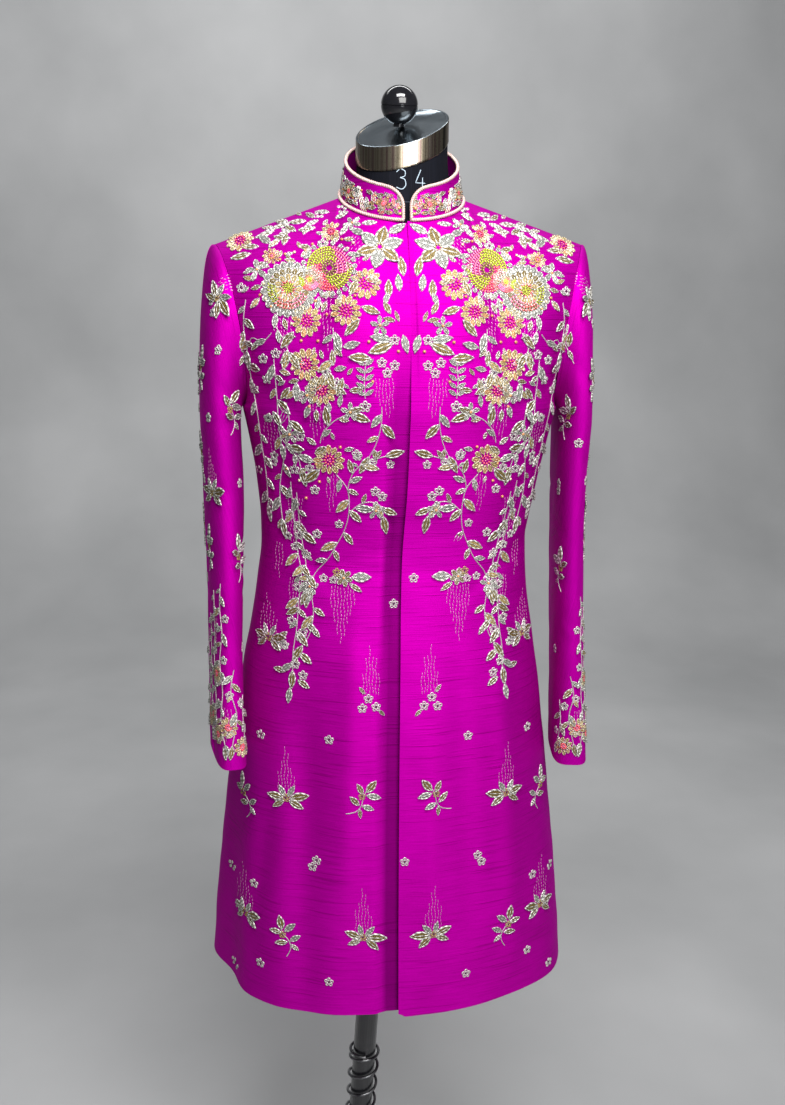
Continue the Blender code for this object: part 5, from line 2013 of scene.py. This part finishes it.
chalk, _, _ = new_material("chalk_blue", {"Base Color": (0.50, 0.62, 0.72, 1.0), "Roughness": 0.8})
numerals = grown("neck_numerals", line_mesh("numerals", numeral_lines()), trees["thread"],
                 {"Radius": 0.00055, "Sides": 5, "Finish": chalk})
seam_line = [on_neck(x, NECK_SEAM_Z, 0.0) for x in np.linspace(-0.045, 0.045, 25)]
seam_finish, _, _ = new_material("neck_seam", {"Base Color": (0.06, 0.07, 0.10, 1.0), "Roughness": 0.7})
neck_seam = grown("neck_seam", line_mesh("neck_seam", [seam_line]), trees["thread"],
                  {"Radius": 0.00040, "Sides": 5, "Finish": seam_finish})

# %% [markdown]
# ## Cap, knob and stand
# The cap is a smooth grey plate with a polished band round it, cut at a slant, with a black ball on top.
# The pole leans in its base, and a steel spring is wound round it. Turned pieces come from a short
# profile swept round the axis.

# %% Turned pieces
TURN_STEPS = 96


def swept_mesh(name, profile, place=Matrix.Identity(4), slope=(0.0, 0.0)):
    """A profile of radius and height turned round Z, leaning its heights by a slope, then placed."""
    work = bmesh.new()
    rings = []
    for radius, height in profile:
        ring = []
        for step in range(TURN_STEPS if radius > 1e-6 else 1):
            turn = FULL_TURN * step / TURN_STEPS
            x, y = radius * cos(turn), radius * sin(turn)
            ring.append(work.verts.new(place @ Vector((x, y, height + slope[0] * x + slope[1] * y))))
        rings.append(ring)
    for low, high in zip(rings, rings[1:]):
        for c in range(TURN_STEPS):
            d = (c + 1) % TURN_STEPS
            corners = (low[c % len(low)], low[d % len(low)], high[d % len(high)], high[c % len(high)])
            fresh = [corner for i, corner in enumerate(corners) if corner not in corners[:i]]
            if len(fresh) > 2:
                work.faces.new(fresh)
    return closed_mesh(work, bpy.data.meshes.new(name), 35)


def rounded(radius, height, soft):
    """A profile's small round between a level face and an upright one."""
    return [(radius - soft + soft * sin(turn), height - soft + soft * cos(turn))
            for turn in np.linspace(0, pi / 2, 5)]


CAP_LIP = 0.0016
CAP_SUNK = 0.0008


def cap_profile():
    """From the plate's middle over a thin raised lip, down the band and back under it."""
    top, low = CAP_TOP_Z, CAP_TOP_Z - CAP_HEIGHT
    profile = [(0.0, top - CAP_SUNK), (0.012, top - CAP_SUNK), (0.030, top - CAP_SUNK),
               (CAP_RADIUS - 2 * CAP_LIP, top - CAP_SUNK), (CAP_RADIUS - 1.6 * CAP_LIP, top)]
    profile += rounded(CAP_RADIUS, top, 0.0010)
    profile += [(CAP_RADIUS, low + 0.0030), (CAP_RADIUS + 0.0002, low + 0.0020), (CAP_RADIUS, low + 0.0010),
                (CAP_RADIUS - 0.0008, low), (0.0, low)]
    return profile


# %% Metals of the cap


def painted_reflection_band_material():
    """Polished metal with painted reflection: soft upright bands round the side, from dark to warm, stand in
    for a warm, uneven room mirrored in it.
    """
    material, tree, shader = new_material("polished_band_painted_reflection", {"Metallic": 1.0})
    place = object_place(tree)
    centred = add_node(tree, "ShaderNodeMapping", {"Vector": place, "Location": (-COAT_X, 0.0, 0.0)})
    split = add_node(tree, "ShaderNodeSeparateXYZ", {0: centred}).outputs
    bands = add_node(tree, "ShaderNodeTexNoise", noise_dimensions="1D")
    feed(tree, bands, {"W": calculate(tree, "ARCTAN2", split["X"], split["Y"]), "Scale": 2.6,
                       "Detail": 3.0, "Roughness": 0.65})
    # Painted reflection: the colours of the room's bands as mirrored in the metal.
    stops = ((0.30, (0.03, 0.026, 0.022)), (0.40, (0.16, 0.135, 0.095)), (0.48, (0.40, 0.35, 0.26)),
             (0.56, (0.20, 0.13, 0.12)), (0.70, (0.50, 0.46, 0.37)))
    feed(tree, shader, {"Roughness": spread(tree, noise(tree, place, 900.0, 1.0), 0.24, 0.34),
                        "Base Color": ramp(tree, stops, bands.outputs["Fac"])})
    return material


cap_mesh = swept_mesh("cap", cap_profile(), Matrix.Translation(shift), CAP_SLOPE)
cap = add_piece("cap", cap_mesh, painted_reflection_band_material())
plate, _, _ = cloudy_material("grey_plate", {"Metallic": 1.0}, 34.0, 3.0, (0.16, 0.26),
                              ((0.3, (0.22, 0.27, 0.31)), (0.7, (0.32, 0.37, 0.41))))
cap.data.materials.append(plate)
PLATE_NORMAL = Vector((-CAP_SLOPE[0], -CAP_SLOPE[1], 1.0)).normalized()
for face in cap.data.polygons:
    face.material_index = 1 if face.normal.dot(PLATE_NORMAL) > 0.7 else 0
print("cap", len(cap.data.polygons), "faces")

# %% Knob, pole, base and spring
KNOB_RADIUS = 0.0210
KNOB_RISE = 0.0228
KNOB_TILT = 12.0
KNOB_SHIFT = 0.004
KNOB_GROOVE = 0.0009
GROOVE_ANGLE = 0.022
KNOB_STEPS = 20
STEM_RADIUS = 0.0065
POLE_LEAN = radians(3.5)
POLE_CROSSING_Z = 0.038
BASE_RADIUS = 0.190
BASE_RIM = 0.008
HUB_RADIUS = 0.031
HUB_HEIGHT = 0.060
HUB_BORE = 0.0173
HUB_FLOOR = 0.016
WIRE_RADIUS = 0.002
SPRING_RADIUS = 0.0195
SPRING_TOP = 0.315
SPRING_TURNS = 10.75
DEAD_PITCH = 0.0048        # the first and last turn lie almost on the next
TURN_POINTS = 40


def knob_profile():
    """A ball with a fine groove round its middle, down to the foot of its stem."""
    stem_angle = pi - asin(STEM_RADIUS / KNOB_RADIUS)
    quarter = pi / 2
    upper, lower = [[(KNOB_RADIUS * sin(a), KNOB_RADIUS * cos(a))
                     for a in np.linspace(start, end, KNOB_STEPS)]
                    for start, end in ((0, quarter - GROOVE_ANGLE), (quarter + GROOVE_ANGLE, stem_angle))]
    return (upper + [(KNOB_RADIUS - KNOB_GROOVE, 0.0)] + lower
            + [(STEM_RADIUS, -KNOB_RISE), (0.0, -KNOB_RISE)])


def knob_mesh():
    forward = KNOB_RISE * sin(radians(KNOB_TILT))
    place = Matrix.Translation((COAT_X - KNOB_SHIFT, -forward, CAP_TOP_Z + KNOB_RISE))
    place = place @ Matrix.Rotation(radians(KNOB_TILT), 4, "X")
    mesh = swept_mesh("ball", knob_profile(), place)
    for vertex in mesh.vertices:
        plate = CAP_TOP_Z - CAP_SUNK + CAP_SLOPE[0] * (vertex.co.x - COAT_X) + CAP_SLOPE[1] * vertex.co.y
        vertex.co.z = max(vertex.co.z, plate)
    return mesh


def base_profile():
    dome = [(BASE_RADIUS * s, BASE_RIM + 0.010 * (1 - s ** 2)) for s in np.linspace(0.24, 0.985, 14)]
    return ([(0.0, HUB_FLOOR), (HUB_BORE, HUB_FLOOR), (HUB_BORE, HUB_HEIGHT)]
            + rounded(HUB_RADIUS, HUB_HEIGHT, 0.003)
            + [(HUB_RADIUS, 0.028), (HUB_RADIUS + 0.002, 0.022), (HUB_RADIUS + 0.007, 0.0185)] + dome
            + [(BASE_RADIUS, BASE_RIM - 0.002), (BASE_RADIUS, 0.001), (BASE_RADIUS - 0.001, 0.0), (0.0, 0.0)])


def spring_line():
    foot = Matrix.Translation((-POLE_CROSSING_Z * tan(POLE_LEAN), 0, 0))
    lean = foot @ Matrix.Rotation(POLE_LEAN, 4, "Y")
    outer = SPRING_RADIUS + WIRE_RADIUS
    start = HUB_HEIGHT + SEAM_GAP + WIRE_RADIUS + outer * sin(POLE_LEAN)
    pitch = (SPRING_TOP - start - 2 * DEAD_PITCH) / (SPRING_TURNS - 2)
    points = []
    for step in range(int(SPRING_TURNS * TURN_POINTS) + 1):
        wound = step / TURN_POINTS
        open_turns = min(max(wound - 1, 0), SPRING_TURNS - 2)
        height = start + DEAD_PITCH * (wound - open_turns) + pitch * open_turns
        angle = FULL_TURN * wound
        points.append(lean @ Vector((SPRING_RADIUS * cos(angle), SPRING_RADIUS * sin(angle),
                                     height)))
    return points


# %% Black ball, painted stand and spring steel


def black_gloss(name, roughness, orange_peel):
    material, tree, shader = cloudy_material(
        name, {"Coat Weight": 0.6, "Coat Roughness": 0.06}, 55.0, 4.0, (roughness - 0.04, roughness + 0.12),
        ((0.35, (0.006, 0.006, 0.008)), (0.75, (0.014, 0.014, 0.017))))
    peel = noise(tree, object_place(tree), 420.0, 1.0)
    feed(tree, shader, {"Normal": relief(tree, peel, orange_peel, 0.0003)})
    return material


ball_black = black_gloss("ball_black", 0.08, 0.02)
stand_paint = black_gloss("stand_paint", 0.26, 0.10)
knob = add_piece("ball_knob", knob_mesh(), ball_black)
base = add_piece("round_base", swept_mesh("round_base", base_profile()), stand_paint)
steel, _, _ = cloudy_material("spring_wire", {"Metallic": 1.0}, 90.0, 3.0, (0.25, 0.5),
                              ((0.35, (0.10, 0.10, 0.11)), (0.7, (0.34, 0.34, 0.35))))
spring = grown("pole_spring", line_mesh("pole_spring", [spring_line()]), trees["thread"],
               {"Radius": WIRE_RADIUS, "Sides": 10, "Finish": steel})
frame_pole = bpy.data.objects["pole"]
frame_pole.data.materials.clear()
frame_pole.data.materials.append(stand_paint)

# %% [markdown]
# ## Ride and replace
# Each piece rides on the one body, and where it stands for solids of the frame, those are hidden.

# %% Tie the pieces to the frame


def tie(piece, slot, *nodes):
    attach(piece, BODY)
    if nodes:
        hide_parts(*nodes)


for name, piece in cloths.items():
    tie(piece, "silk", name)
    across, up = grid_lengths(grids[name])
tie(piping, "cord", "collar_piping")
for piece in needlework:
    tie(piece, "cord")
tie(form, "form_cloth", "form_body")
tie(numerals, "form_cloth")
tie(neck_seam, "form_cloth")
tie(cap, "chrome", "neck_cap")
tie(knob, "gloss_black", "knob")
tie(base, "stand_paint", "base")
tie(spring, "spring_steel", "spring")
